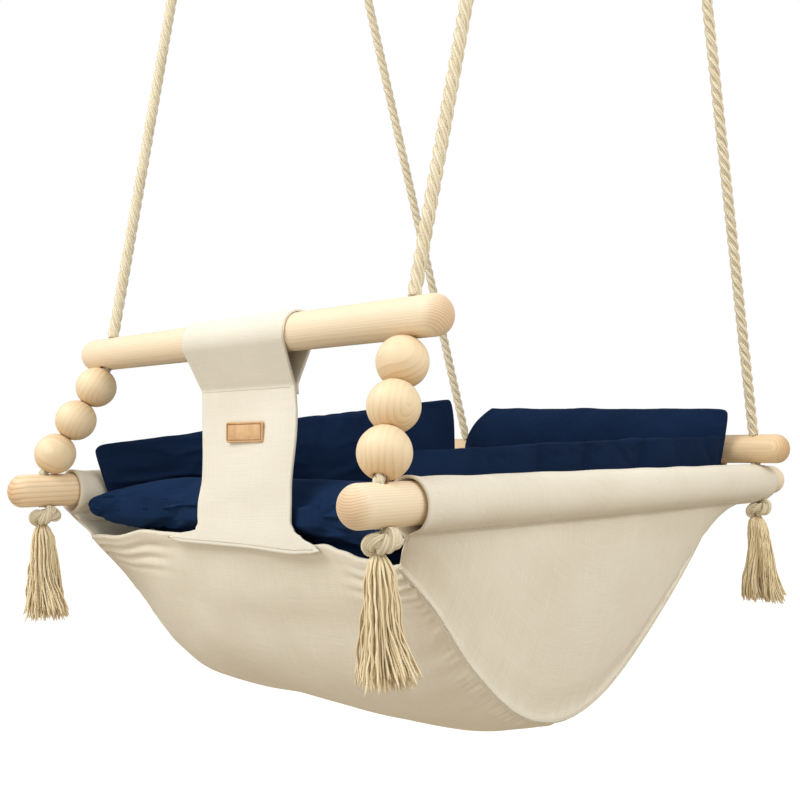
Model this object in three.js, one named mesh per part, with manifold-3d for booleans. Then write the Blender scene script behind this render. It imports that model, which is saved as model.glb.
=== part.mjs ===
import * as THREE from 'three';
import { mergeVertices } from 'three/addons/utils/BufferGeometryUtils.js';
import Module from 'manifold-3d';

// Hanging baby swing: a canvas sling seat on wooden dowels, carried by four ropes.
// Millimetres and degrees. +X runs along the front bar, +Y from front to back, +Z up.
// While it is made, z is 0 on the side dowels' axes and y is 0 at their front tips.
// At the end the whole swing moves, so that its origin is where it hangs from.

// Clearances shared by all pieces
const touchGap = 0.3;
const cutOverrun = 5;

// Wooden dowels
const dowelDiameter = 28;
const dowelDomeLength = 12;
const sideDowelLength = 620;
const barLength = 434;
const ropeHoleDiameter = 11.4;

// Where the ropes pass through the dowels
const frontHoleInset = 30;
const rearHoleInset = 46;
const sideHalfSpacing = 205;
const barHoleInset = 34;
const barSetback = 52;
const barHoleTilt = 12;

// Cotton rope
const ropeDiameter = 10;
const squeezedRopeDiameter = 8;
const ropeStep = 27;
const squeezedRopeStep = 6;

// Wooden beads between the side dowels and the front bar
const beadDiameter = 35;
const beadBore = 9;
const beadChamfer = 0.6;
const beadCount = 3;

// Where the ropes would meet above, and the hanging loops that they are knotted into
const hookHalfSpacing = 228;
const hookY = 286;
const hookHeight = 1063;
const loopKnotHeight = 640;
const loopKnotDiameter = 24;
const loopLength = 58;
const loopWidth = 32;

// Knots under the side dowels, and the tassels below them
const knotDiameter = 28;
const knotHeight = 15;
const tasselLength = 86;
const tasselNeckDiameter = 20;
const tasselHemDiameter = 37;

// Canvas sling
const canvasThickness = 2.4;
const hemThickness = 4.4;
const hemWidth = 14;
const seamGap = 0.9;
const sleeveSlack = 1.5;
const sleeveFront = 56;
const sleeveBackInset = 20;
const sidePanelBackInset = 92;
const rearSleeveInset = 35;
const sleeveHoleDiameter = 14;
const seatDepth = 186;
const seatFront = 68;
const hemSetback = 20;
const hemDrop = 37;
const hemCornerDrop = 42;
const seatRearInset = 25;
const seatFrontInset = 20;

// Crotch strap, sewn in a loop round the front bar
const strapWidth = 114;
const strapBarWidth = 124;
const strapThickness = 2.2;
const strapShift = 5;
const strapBarShift = 6;
const strapBack = 6;
const strapStitchDrop = 38;
const strapHemGap = 0.9;

// Leather tag on the strap
const tagWidth = 45;
const tagHeight = 16;
const tagThickness = 1.6;
const tagCorner = 2;
const tagDrop = 72;

// Padded liner: a seat pad and a flap on each of three sides
const seatPadThickness = 44;
const padEdgeThickness = 10;
const padEdgeRoll = 38;
const padSideHeight = -12;
const padSideInset = 14;
const padCornerInset = 6;
const padCornerLength = 22;
const seatPadFront = 60;
const seatPadMiddleFront = 93;
const seatPadFrontHeight = -9;
const padBrowLength = 20;
const padBrowRise = 1;
const padTurnLength = 37;
const padTurnDrop = 18;
const padRestGap = 1.8;
const seatPadBackInset = 108;
const flapThickness = 22;
const flapEdgeThickness = 5;
const leftFlap = {
  frontFoot: 79,
  frontTop: 62,
  backFootInset: 97,
  backTopInset: 90,
  foot: -6,
  frontHeight: 39,
  backHeight: 93,
};
const rightFlap = {
  frontFoot: 86,
  frontTop: 78,
  backFootInset: 97,
  backTopInset: 88,
  foot: -6,
  frontHeight: 33,
  backHeight: 43,
};
const backFlap = {
  foot: 1,
  footInset: 27,
  leftShoulderInset: 15,
  leftTopInset: 54,
  rightTopInset: 13,
  leftHeight: 81,
  rightHeight: 71,
};

// Facet counts
const dowelSegments = 24;
const domeSteps = 4;
const holeSegments = 14;
const beadSegments = 16;
const beadSteps = 8;
const ropeSides = 8;
const sleeveSegments = 24;
const seatSteps = 24;
const seatCrossSteps = 20;
const sidePanelSteps = 22;
const sidePanelRows = 4;
const flapSteps = 20;
const flapRows = 8;
const seatPadSteps = 22;
const seatPadCrossSteps = 16;
const tagCornerSegments = 2;

// Worked out from the sizes above
const dowelRadius = dowelDiameter / 2;
const barHalfSpacing = barLength / 2 - barHoleInset;
const beadRadius = beadDiameter / 2;
const loopKnotRadius = loopKnotDiameter / 2;
const holeSpan = sideDowelLength - frontHoleInset - rearHoleInset;
const spreadAngle = Math.asin((sideHalfSpacing - barHalfSpacing) / holeSpan);
const rearHoleY = frontHoleInset + holeSpan * Math.cos(spreadAngle);
const sleeveInner = dowelRadius + sleeveSlack;
const sleeveOuter = sleeveInner + canvasThickness;
const sleeveDrop = sleeveSlack - touchGap;
const sleeveBottom = -sleeveDrop - sleeveOuter;
const rearDowelHeight = sleeveOuter - sleeveDrop + touchGap + dowelRadius;
const barY = frontHoleInset + barSetback;
const sleeveBack = sideDowelLength - sleeveBackInset;
const sidePanelBack = sideDowelLength - sidePanelBackInset;
const seatPadBack = sideDowelLength - seatPadBackInset;
const rearSleeveHalfLength = barHalfSpacing - rearSleeveInset;
const seatRearHalfWidth = barHalfSpacing - seatRearInset;
const seatFrontHalfWidth = sideHalfSpacing - seatFrontInset;

const UP = new THREE.Vector3(0, 0, 1);
const ALONG_Y = new THREE.Vector3(0, 1, 0);
const { degToRad, lerp } = THREE.MathUtils;
const vector = (x, y, z) => new THREE.Vector3(x, y, z);

// Half the distance between the side dowels' axes, which spread towards the front
const halfWidth = (y) => sideHalfSpacing - (y - frontHoleInset) * Math.tan(spreadAngle);

const materials = {
  wood: new THREE.MeshStandardMaterial({ color: 0xe3c79c, roughness: 0.6, metalness: 0 }),
  bead: new THREE.MeshStandardMaterial({ color: 0xe6cda6, roughness: 0.5, metalness: 0 }),
  rope: new THREE.MeshStandardMaterial({ color: 0xded2b6, roughness: 0.95, metalness: 0 }),
  canvas: new THREE.MeshStandardMaterial({ color: 0xe4dccb, roughness: 0.95, metalness: 0 }),
  cushion: new THREE.MeshStandardMaterial({ color: 0x14233f, roughness: 0.85, metalness: 0 }),
  leather: new THREE.MeshStandardMaterial({ color: 0xc8945f, roughness: 0.7, metalness: 0 }),
};

const wasm = await Module();
wasm.setup();

// A closed geometry as a solid, for cutting and joining
function toSolid(geometry) {
  const bare = geometry.clone();
  bare.deleteAttribute('normal');
  bare.deleteAttribute('uv');
  const merged = mergeVertices(bare);
  return new wasm.Manifold(
    new wasm.Mesh({
      numProp: 3,
      vertProperties: new Float32Array(merged.attributes.position.array),
      triVerts: new Uint32Array(merged.index.array),
    }),
  );
}

function toGeometry(solid) {
  const mesh = solid.getMesh();
  const geometry = new THREE.BufferGeometry();
  geometry.setAttribute('position', new THREE.BufferAttribute(mesh.vertProperties, mesh.numProp));
  geometry.setIndex(new THREE.BufferAttribute(mesh.triVerts, 1));
  geometry.computeVertexNormals();
  return geometry;
}

const join = (...geometries) => toGeometry(geometries.map(toSolid).reduce((all, next) => all.add(next)));

const cut = (geometry, ...tools) =>
  toGeometry(tools.map(toSolid).reduce((rest, tool) => rest.subtract(tool), toSolid(geometry)));

// Turns a geometry made along +Y to run along a direction, and moves it to a place
function aim(geometry, direction, position) {
  const turn = new THREE.Quaternion().setFromUnitVectors(ALONG_Y, direction.clone().normalize());
  return geometry.applyQuaternion(turn).translate(position.x, position.y, position.z);
}

function rod(from, to, diameter, segments) {
  const span = to.clone().sub(from);
  const cylinder = new THREE.CylinderGeometry(diameter / 2, diameter / 2, span.length(), segments);
  return aim(cylinder, span, from.clone().addScaledVector(span, 0.5));
}

// The cutter for a round hole, which runs past both of its ends
function drill(centre, direction, depth, diameter) {
  const reach = direction.clone().setLength(depth / 2 + cutOverrun);
  return rod(centre.clone().sub(reach), centre.clone().add(reach), diameter, holeSegments);
}

// Rope that follows a route of points
function ropeAlong(route, diameter, stepLength) {
  const corners = Array.from({ length: ropeSides }, (_, k) => {
    const angle = (k / ropeSides) * 2 * Math.PI;
    return new THREE.Vector2((Math.cos(angle) * diameter) / 2, (Math.sin(angle) * diameter) / 2);
  });
  const straight = route.length === 2;
  const path = straight ? new THREE.LineCurve3(...route) : new THREE.CatmullRomCurve3(route);
  return new THREE.ExtrudeGeometry(new THREE.Shape(corners), {
    steps: Math.max(2, Math.round(path.getLength() / stepLength)),
    bevelEnabled: false,
    extrudePath: path,
  });
}

// The step, as a share of a surface, that finds which way the surface faces
const nearbyShare = 1e-3;

// A closed sewn form from its middle surface and its thickness, both given for a and b from 0 to 1
function sewnForm(middle, thickness, stepsA, stepsB) {
  const positions = [];
  const faces = [];
  const normalAt = (a, b) => {
    const alongA = middle(Math.min(1, a + nearbyShare), b).sub(middle(Math.max(0, a - nearbyShare), b));
    const alongB = middle(a, Math.min(1, b + nearbyShare)).sub(middle(a, Math.max(0, b - nearbyShare)));
    return alongA.cross(alongB).normalize();
  };
  for (const side of [1, -1]) {
    for (let i = 0; i <= stepsA; i += 1) {
      for (let j = 0; j <= stepsB; j += 1) {
        const a = i / stepsA;
        const b = j / stepsB;
        const point = middle(a, b).addScaledVector(normalAt(a, b), (side * thickness(a, b)) / 2);
        positions.push(point.x, point.y, point.z);
      }
    }
  }
  const rowLength = stepsB + 1;
  const at = (i, j, side) => (side > 0 ? 0 : (stepsA + 1) * rowLength) + i * rowLength + j;
  const quad = (p, q, r, s) => faces.push(p, q, r, p, r, s);
  for (let i = 0; i < stepsA; i += 1) {
    for (let j = 0; j < stepsB; j += 1) {
      quad(at(i, j, 1), at(i + 1, j, 1), at(i + 1, j + 1, 1), at(i, j + 1, 1));
      quad(at(i, j, -1), at(i, j + 1, -1), at(i + 1, j + 1, -1), at(i + 1, j, -1));
    }
    quad(at(i, 0, 1), at(i, 0, -1), at(i + 1, 0, -1), at(i + 1, 0, 1));
    quad(at(i, stepsB, 1), at(i + 1, stepsB, 1), at(i + 1, stepsB, -1), at(i, stepsB, -1));
  }
  for (let j = 0; j < stepsB; j += 1) {
    quad(at(0, j, 1), at(0, j + 1, 1), at(0, j + 1, -1), at(0, j, -1));
    quad(at(stepsA, j, 1), at(stepsA, j, -1), at(stepsA, j + 1, -1), at(stepsA, j + 1, 1));
  }
  const geometry = new THREE.BufferGeometry();
  geometry.setAttribute('position', new THREE.Float32BufferAttribute(positions, 3));
  geometry.setIndex(faces);
  geometry.computeVertexNormals();
  return geometry;
}

const swing = new THREE.Group();

function addPiece(name, geometry, material) {
  const mesh = new THREE.Mesh(geometry, material);
  mesh.name = name;
  swing.add(mesh);
}

const sides = [
  { side: 'left', sign: -1 },
  { side: 'right', sign: 1 },
];

// A dowel along +Y with domed ends
function dowelBlank(length) {
  const frontHalf = Array.from({ length: domeSteps + 1 }, (_, k) => {
    const angle = ((k / domeSteps) * Math.PI) / 2;
    const inset = dowelDomeLength * (1 - Math.cos(angle));
    return new THREE.Vector2(dowelRadius * Math.sin(angle), inset - length / 2);
  });
  const backHalf = frontHalf.map((point) => new THREE.Vector2(point.x, -point.y)).reverse();
  return new THREE.LatheGeometry([...frontHalf, ...backHalf], dowelSegments);
}

// Side dowels, each with a rope hole near both ends
const frontHole = (sign) => vector(sign * sideHalfSpacing, frontHoleInset, 0);
const rearHole = (sign) => vector(sign * barHalfSpacing, rearHoleY, 0);

for (const { side, sign } of sides) {
  const run = rearHole(sign).sub(frontHole(sign)).normalize();
  const centre = frontHole(sign).addScaledVector(run, sideDowelLength / 2 - frontHoleInset);
  const blank = aim(dowelBlank(sideDowelLength), run, centre);
  const places = [frontHole(sign), rearHole(sign)];
  const drills = places.map((place) => drill(place, UP, dowelDiameter, ropeHoleDiameter));
  addPiece(`side_dowel_${side}`, cut(blank, ...drills), materials.wood);
}

// How far along a rope a bead sits from the hole that the rope leaves, so that it just clears the dowel.
// mouth leads from the dowel's axis to the hole's mouth, and both vectors lie across the dowel
function beadSeat(mouth, along) {
  const reach = dowelRadius + beadRadius + touchGap;
  const lean = mouth.dot(along);
  const grade = along.lengthSq();
  return (Math.sqrt(lean ** 2 - grade * (mouth.lengthSq() - reach ** 2)) - lean) / grade;
}

// The bead column sets the front bar's height. Its rims touch where the bores cut the beads' ends
const rimRadius = beadBore / 2 + beadChamfer;
const rimHeight = Math.sqrt(beadRadius ** 2 - rimRadius ** 2);
const beadPitch = 2 * rimHeight + touchGap;
const barHoleRun = vector(0, Math.sin(degToRad(barHoleTilt)), Math.cos(degToRad(barHoleTilt)));

function columnFor(height) {
  const foot = frontHole(1).addScaledVector(UP, dowelRadius);
  const head = vector(barHalfSpacing, barY, height).addScaledVector(barHoleRun, -dowelRadius);
  const run = head.clone().sub(foot).normalize();
  const lowSeat = beadSeat(vector(0, 0, dowelRadius), vector(run.x, 0, run.z));
  const highSeat = beadSeat(barHoleRun.clone().multiplyScalar(dowelRadius), vector(0, run.y, run.z));
  return { foot, head, run, lowSeat, length: lowSeat + (beadCount - 1) * beadPitch + highSeat };
}

let barHeight = beadCount * beadDiameter;
const settlingRounds = 30;
for (let round = 0; round < settlingRounds; round += 1) {
  const { foot, head, length } = columnFor(barHeight);
  const offset = head.clone().sub(foot);
  barHeight += Math.sqrt(length ** 2 - offset.x ** 2 - offset.y ** 2) - offset.z;
}
const column = columnFor(barHeight);
const mirrored = (point, sign) => vector(sign * point.x, point.y, point.z);

// Front bar and rear dowel, turned from the same dowel
const barHoles = {
  front: vector(barHalfSpacing, barY, barHeight),
  rear: vector(barHalfSpacing, rearHoleY, rearDowelHeight),
};
const holeRuns = { front: barHoleRun, rear: UP };
for (const [end, name] of [
  ['front', 'front_bar'],
  ['rear', 'rear_dowel'],
]) {
  const centre = barHoles[end].clone().setX(0);
  const blank = aim(dowelBlank(barLength), vector(1, 0, 0), centre);
  const drills = sides.map(({ sign }) =>
    drill(mirrored(barHoles[end], sign), holeRuns[end], dowelDiameter, ropeHoleDiameter),
  );
  addPiece(name, cut(blank, ...drills), materials.wood);
}

// Beads: spheres with a chamfered bore, threaded on the front ropes
function beadGeometry() {
  const rimAngle = Math.asin(rimRadius / beadRadius);
  const arc = Array.from({ length: beadSteps + 1 }, (_, k) => {
    const angle = lerp(rimAngle, Math.PI - rimAngle, k / beadSteps);
    return new THREE.Vector2(beadRadius * Math.sin(angle), -beadRadius * Math.cos(angle));
  });
  const boreEnd = rimHeight - beadChamfer;
  const bottom = new THREE.Vector2(beadBore / 2, -boreEnd);
  const top = new THREE.Vector2(beadBore / 2, boreEnd);
  return new THREE.LatheGeometry([bottom, ...arc, top, bottom.clone()], beadSegments);
}

for (const { side, sign } of sides) {
  for (let k = 0; k < beadCount; k += 1) {
    const centre = column.foot.clone().addScaledVector(column.run, column.lowSeat + k * beadPitch);
    const geometry = aim(beadGeometry(), mirrored(column.run, sign), mirrored(centre, sign));
    addPiece(`bead_${side}_${k + 1}`, geometry, materials.bead);
  }
}

// Rope inside the front column: up through the side dowel, the beads and the bar
for (const { side, sign } of sides) {
  const bendReach = dowelRadius / 4;
  const { foot, head, run } = column;
  const columnLength = head.distanceTo(foot);
  const along = Array.from({ length: beadCount }, (_, k) =>
    foot.clone().addScaledVector(run, ((k + 1) / (beadCount + 1)) * columnLength),
  );
  const route = [
    foot.clone().addScaledVector(UP, -dowelDiameter),
    foot.clone().addScaledVector(UP, -dowelRadius),
    foot.clone().addScaledVector(UP, -bendReach),
    foot,
    foot.clone().addScaledVector(run, bendReach),
    ...along,
    head.clone().addScaledVector(run, -bendReach),
    head,
    head.clone().addScaledVector(barHoleRun, bendReach),
    head.clone().addScaledVector(barHoleRun, dowelRadius),
    head.clone().addScaledVector(barHoleRun, dowelDiameter - 2 * touchGap),
  ].map((point) => mirrored(point, sign));
  const geometry = ropeAlong(route, squeezedRopeDiameter, squeezedRopeStep);
  addPiece(`column_rope_${side}`, geometry, materials.rope);
}

// Rope through the rear dowel, the sleeve and the side dowel
for (const { side, sign } of sides) {
  const foot = rearHole(sign).setZ(sleeveBottom);
  const head = rearHole(sign).setZ(rearDowelHeight + dowelRadius - 2 * touchGap);
  addPiece(`rear_rope_core_${side}`, ropeAlong([foot, head], ropeDiameter, ropeStep), materials.rope);
}

// Hanging loops: each rope is doubled back and knotted above, on its line to the hook
function hangingLoop() {
  const knot = new THREE.SphereGeometry(loopKnotRadius, 12, 8);
  const halfGap = ropeDiameter / 2 + touchGap;
  const bulge = loopWidth / 2;
  const armShares = [0.18, 0.45, 0.72];
  const armWidthShares = [0.55, 0.95, 1];
  const arm = (sign) => [
    vector(sign * halfGap, 0, 0),
    ...armShares.map((share, k) => {
      const reach = Math.max(halfGap, bulge * armWidthShares[k]);
      return vector(sign * reach, share * loopLength, 0);
    }),
  ];
  const route = [...arm(-1), vector(0, loopLength, 0), ...arm(1).reverse()];
  return join(knot, ropeAlong(route, ropeDiameter, ropeDiameter));
}

// The free ropes, from the front bar and the rear dowel up to the hanging loops
const loopCrowns = [];
for (const end of ['front', 'rear']) {
  for (const { side, sign } of sides) {
    const start = mirrored(barHoles[end], sign);
    const run = vector(sign * hookHalfSpacing, hookY, hookHeight).sub(start).normalize();
    const knot = start.clone().addScaledVector(run, (loopKnotHeight - start.z) / run.z);
    const endLean = (Math.abs(run.x) * ropeDiameter) / 2;
    const foot = start.clone().addScaledVector(run, dowelRadius + touchGap + endLean);
    const head = knot.clone().addScaledVector(run, -loopKnotRadius - touchGap);
    addPiece(`rope_${end}_${side}`, ropeAlong([foot, head], ropeDiameter, ropeStep), materials.rope);
    addPiece(`hanging_loop_${end}_${side}`, aim(hangingLoop(), run, knot), materials.rope);
    loopCrowns.push(knot.clone().addScaledVector(run, loopLength - ropeDiameter / 2));
  }
}

// Knots under the side dowels: two turns of rope, one above the other
function knotGeometry() {
  const turnRadius = knotHeight / 4;
  const turnSteps = 4;
  const turn = (height) =>
    Array.from({ length: turnSteps + 1 }, (_, k) => {
      const angle = (k / turnSteps - 0.5) * Math.PI;
      const reach = knotDiameter / 2 - turnRadius + turnRadius * Math.cos(angle);
      return new THREE.Vector2(reach, height + turnRadius * Math.sin(angle));
    });
  const bottom = new THREE.Vector2(0, -knotHeight / 2);
  const top = new THREE.Vector2(0, knotHeight / 2);
  const profile = [bottom, ...turn(-turnRadius), ...turn(turnRadius).slice(1), top];
  return new THREE.LatheGeometry(profile, beadSegments);
}

// Tassels: the rope's combed end, domed where it leaves the knot and flared at its hem
function tasselGeometry() {
  const neck = tasselNeckDiameter / 2;
  const hem = tasselHemDiameter / 2;
  const drop = tasselLength - neck;
  const flareSteps = 5;
  const flare = Array.from({ length: flareSteps }, (_, k) => {
    const share = 1 - k / flareSteps;
    return new THREE.Vector2(lerp(neck, hem, share ** 0.8), -share * drop);
  });
  const dome = Array.from({ length: domeSteps + 1 }, (_, k) => {
    const angle = ((k / domeSteps) * Math.PI) / 2;
    return new THREE.Vector2(neck * Math.cos(angle), neck * Math.sin(angle));
  });
  dome[domeSteps].x = 0;
  return new THREE.LatheGeometry([new THREE.Vector2(0, -drop), ...flare, ...dome], beadSegments);
}

for (const { side, sign } of sides) {
  for (const [end, at, under] of [
    ['front', frontHole(sign), -dowelRadius],
    ['rear', rearHole(sign), sleeveBottom],
  ]) {
    const knot = at.clone().setZ(under - touchGap - knotHeight / 2);
    const neck = knot.clone().addScaledVector(UP, -(knotHeight / 2 + touchGap + tasselNeckDiameter / 2));
    addPiece(`knot_${end}_${side}`, aim(knotGeometry(), UP, knot), materials.rope);
    addPiece(`tassel_${end}_${side}`, aim(tasselGeometry(), UP, neck), materials.rope);
  }
}

// The seat panel runs from the front hem down, under and up to the rear dowel.
// Between its ends each station gives the seam's width as a share of half the seat's width, how far
// back the seam and the middle are as shares of the seat's length, and how low as shares of its depth
const seatStationShares = [
  { width: 0.909, seamBack: 0.06, seamDrop: 0.387, middleBack: 0.071, middleDrop: 0.476 },
  { width: 0.905, seamBack: 0.14, seamDrop: 0.635, middleBack: 0.131, middleDrop: 0.777 },
  { width: 0.896, seamBack: 0.247, seamDrop: 0.851, middleBack: 0.233, middleDrop: 0.949 },
  { width: 0.874, seamBack: 0.362, seamDrop: 0.925, middleBack: 0.36, middleDrop: 1.001 },
  { width: 0.839, seamBack: 0.495, seamDrop: 0.874, middleBack: 0.518, middleDrop: 0.94 },
  { width: 0.825, seamBack: 0.651, seamDrop: 0.646, middleBack: 0.676, middleDrop: 0.696 },
  { width: 0.81, seamBack: 0.826, seamDrop: 0.305, middleBack: 0.834, middleDrop: 0.337 },
];
const seatLength = rearHoleY - seatFront;
const seamPoint = ({ width, seamBack, seamDrop }) =>
  vector(width * sideHalfSpacing, seatFront + seamBack * seatLength, -seamDrop * seatDepth);
const middlePoint = ({ middleBack, middleDrop }) =>
  vector(0, seatFront + middleBack * seatLength, -middleDrop * seatDepth);
const rearSleeveHeight = rearDowelHeight - sleeveDrop;
const seatRearHeight = rearSleeveHeight - sleeveOuter + canvasThickness / 2;
const seamLine = new THREE.CatmullRomCurve3([
  vector(seatFrontHalfWidth, seatFront, -hemCornerDrop),
  ...seatStationShares.map(seamPoint),
  vector(seatRearHalfWidth, rearHoleY, seatRearHeight),
]);
const middleLine = new THREE.CatmullRomCurve3([
  vector(0, seatFront + hemSetback, -hemDrop),
  ...seatStationShares.map(middlePoint),
  vector(0, rearHoleY, seatRearHeight),
]);
const bowlPower = 6.0;

// A point of the seat panel: back runs from the hem to the rear dowel, across from the left seam to the right
function seatPoint(back, across) {
  const share = 2 * across - 1;
  const seam = seamLine.getPoint(back);
  const point = middleLine.getPoint(back).lerp(seam, Math.abs(share) ** bowlPower);
  return point.setX(share * seam.x);
}

// The canvas is doubled over along the front hem
const hemShare = hemWidth / seatLength;
const seatThickness = (back) => lerp(hemThickness, canvasThickness, Math.min(1, back / hemShare));

{
  const panel = sewnForm(seatPoint, seatThickness, seatSteps, seatCrossSteps);
  const ends = [-1, 1].map((sign) => vector(sign * rearSleeveHalfLength, rearHoleY, rearSleeveHeight));
  const sleeve = rod(ends[0], ends[1], 2 * sleeveOuter, sleeveSegments);
  const bore = rod(
    ends[0].clone().setX(-barLength / 2),
    ends[1].clone().setX(barLength / 2),
    2 * sleeveInner,
    sleeveSegments,
  );
  addPiece('seat_panel', cut(join(panel, sleeve), bore), materials.canvas);
}

// Side panels: a gusset from the seat panel's seam up to a sleeve round the side dowel
for (const { side, sign } of sides) {
  const gusset = (a, b) => {
    const topY = lerp(sleeveFront, sidePanelBack, a);
    const top = vector(halfWidth(topY), topY, sleeveBottom + canvasThickness / 2);
    const back = (a * sidePanelSteps) / seatSteps;
    const seam = seatPoint(back, 1);
    const along = seatPoint(back + nearbyShare, 1).sub(seatPoint(Math.max(0, back - nearbyShare), 1));
    const across = seam.clone().sub(seatPoint(back, 1 - nearbyShare));
    const inward = across.cross(along).normalize();
    const halfLean = (top.clone().sub(seam).normalize().x * canvasThickness) / 2;
    const foot = seam.addScaledVector(inward, seatThickness(back) / 2 + seamGap + Math.abs(halfLean));
    foot.x -= canvasThickness / 2;
    return mirrored(foot.lerp(top, b), sign);
  };
  const sheet = sewnForm(gusset, () => canvasThickness, sidePanelSteps, sidePanelRows);
  const sleeveAt = (y) => vector(sign * halfWidth(y), y, -sleeveDrop);
  const sleeve = rod(sleeveAt(sleeveFront), sleeveAt(sleeveBack), 2 * sleeveOuter, sleeveSegments);
  const bore = rod(sleeveAt(0), sleeveAt(sideDowelLength), 2 * sleeveInner, sleeveSegments);
  const ropeHole = drill(rearHole(sign), UP, 2 * sleeveOuter, sleeveHoleDiameter);
  addPiece(`side_panel_${side}`, cut(join(sheet, sleeve), bore, ropeHole), materials.canvas);
}

// Crotch strap: up from the front hem and round the bar, sewn to itself below it
{
  const inner = dowelRadius + touchGap;
  const outer = inner + strapThickness;
  const stitch = new THREE.Vector2(strapBack, -strapStitchDrop);
  const foot = new THREE.Vector2(seatFront + hemSetback - barY, strapHemGap - hemDrop - barHeight);
  const wrap = (path, radius, tip) => {
    const toTip = Math.atan2(tip.y, tip.x);
    const spread = Math.acos(radius / tip.length());
    path.absarc(0, 0, radius, toTip + spread, toTip - spread + 2 * Math.PI, false);
  };
  const outline = new THREE.Shape();
  outline.moveTo(foot.x + strapThickness, foot.y);
  outline.lineTo(stitch.x + strapThickness, stitch.y);
  wrap(outline, outer, stitch);
  outline.lineTo(stitch.x - strapThickness, stitch.y);
  outline.lineTo(foot.x - strapThickness, foot.y);
  outline.closePath();
  const eye = new THREE.Path();
  const innerTip = stitch.clone().multiplyScalar(1 - (2 * strapThickness) / strapStitchDrop);
  wrap(eye, inner, innerTip);
  eye.lineTo(innerTip.x, innerTip.y);
  outline.holes.push(eye);
  const wrapSegments = 14;
  const geometry = new THREE.ExtrudeGeometry(outline, {
    depth: strapWidth,
    bevelEnabled: false,
    curveSegments: wrapSegments,
  }).translate(0, 0, -strapWidth / 2);
  const places = geometry.attributes.position;
  for (let k = 0; k < places.count; k += 1) {
    const rise = Math.min(1, Math.max(0, 1 + places.getY(k) / strapStitchDrop));
    places.setZ(k, places.getZ(k) * lerp(1, strapBarWidth / strapWidth, rise) + strapBarShift * rise);
  }
  const upright = new THREE.Matrix4().makeBasis(vector(0, 1, 0), vector(0, 0, 1), vector(1, 0, 0));
  geometry.applyMatrix4(upright).translate(strapShift, barY, barHeight);
  addPiece('crotch_strap', geometry, materials.canvas);
}

// Leather tag, left bare
{
  const [halfTag, halfTall] = [tagWidth / 2, tagHeight / 2];
  const outline = new THREE.Shape();
  for (const [x, y, from] of [
    [halfTag - tagCorner, halfTall - tagCorner, 0],
    [tagCorner - halfTag, halfTall - tagCorner, 1],
    [tagCorner - halfTag, tagCorner - halfTall, 2],
    [halfTag - tagCorner, tagCorner - halfTall, 3],
  ]) {
    outline.absarc(x, y, tagCorner, (from * Math.PI) / 2, ((from + 1) * Math.PI) / 2, false);
  }
  const tag = new THREE.ExtrudeGeometry(outline, {
    depth: tagThickness,
    bevelEnabled: false,
    curveSegments: tagCornerSegments,
  });
  const strapFace = barY + strapBack - strapThickness - touchGap;
  tag.rotateX(Math.PI / 2).translate(strapShift, strapFace, barHeight - tagDrop);
  addPiece('leather_tag', tag, materials.leather);
}

// Padded flaps, which lean on the sleeves round three sides of the seat
const flapCrown = (a, b) =>
  lerp(flapEdgeThickness, flapThickness, Math.sin(Math.PI * a) ** 0.4 * Math.sin(Math.PI * b) ** 0.6);
for (const { side, sign } of sides) {
  const flap = side === 'left' ? leftFlap : rightFlap;
  const middle = (a, b) => {
    const front = lerp(flap.frontFoot, flap.frontTop, b);
    const back = sideDowelLength - lerp(flap.backFootInset, flap.backTopInset, b);
    const y = lerp(front, back, a);
    const z = lerp(flap.foot, lerp(flap.frontHeight, flap.backHeight, a), b);
    const lean = halfWidth(y) - sleeveOuter - touchGap;
    return vector(sign * (lean - flapCrown(a, b) / 2), y, z);
  };
  addPiece(`cushion_flap_${side}`, sewnForm(middle, flapCrown, flapSteps, flapRows), materials.cushion);
}

{
  const leftEdge = new THREE.QuadraticBezierCurve(
    new THREE.Vector2(backFlap.footInset, backFlap.foot),
    new THREE.Vector2(backFlap.leftShoulderInset - backFlap.footInset, backFlap.leftHeight / 2),
    new THREE.Vector2(backFlap.leftTopInset, backFlap.leftHeight),
  );
  const middle = (a, b) => {
    const lean = rearHoleY - sleeveOuter - touchGap;
    const left = leftEdge.getPoint(b);
    const right = lerp(backFlap.footInset, backFlap.rightTopInset, b);
    const height = lerp(left.y, lerp(backFlap.foot, backFlap.rightHeight, b), a);
    const x = lerp(left.x - barHalfSpacing, barHalfSpacing - right, a);
    return vector(x, lean - flapCrown(a, b) / 2, height);
  };
  addPiece('cushion_flap_back', sewnForm(middle, flapCrown, flapSteps, flapRows), materials.cushion);
}

// Seat pad: it stands up behind the front hem, lies in the sling and rises to the flaps at its sides.
// Its middle rests on the canvas at these shares of the way from the hem to the rear dowel
const padRestShares = [0.125, 0.1875, 0.25, 0.375, 0.5, 0.625, 0.75, 0.83, 0.9];

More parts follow.
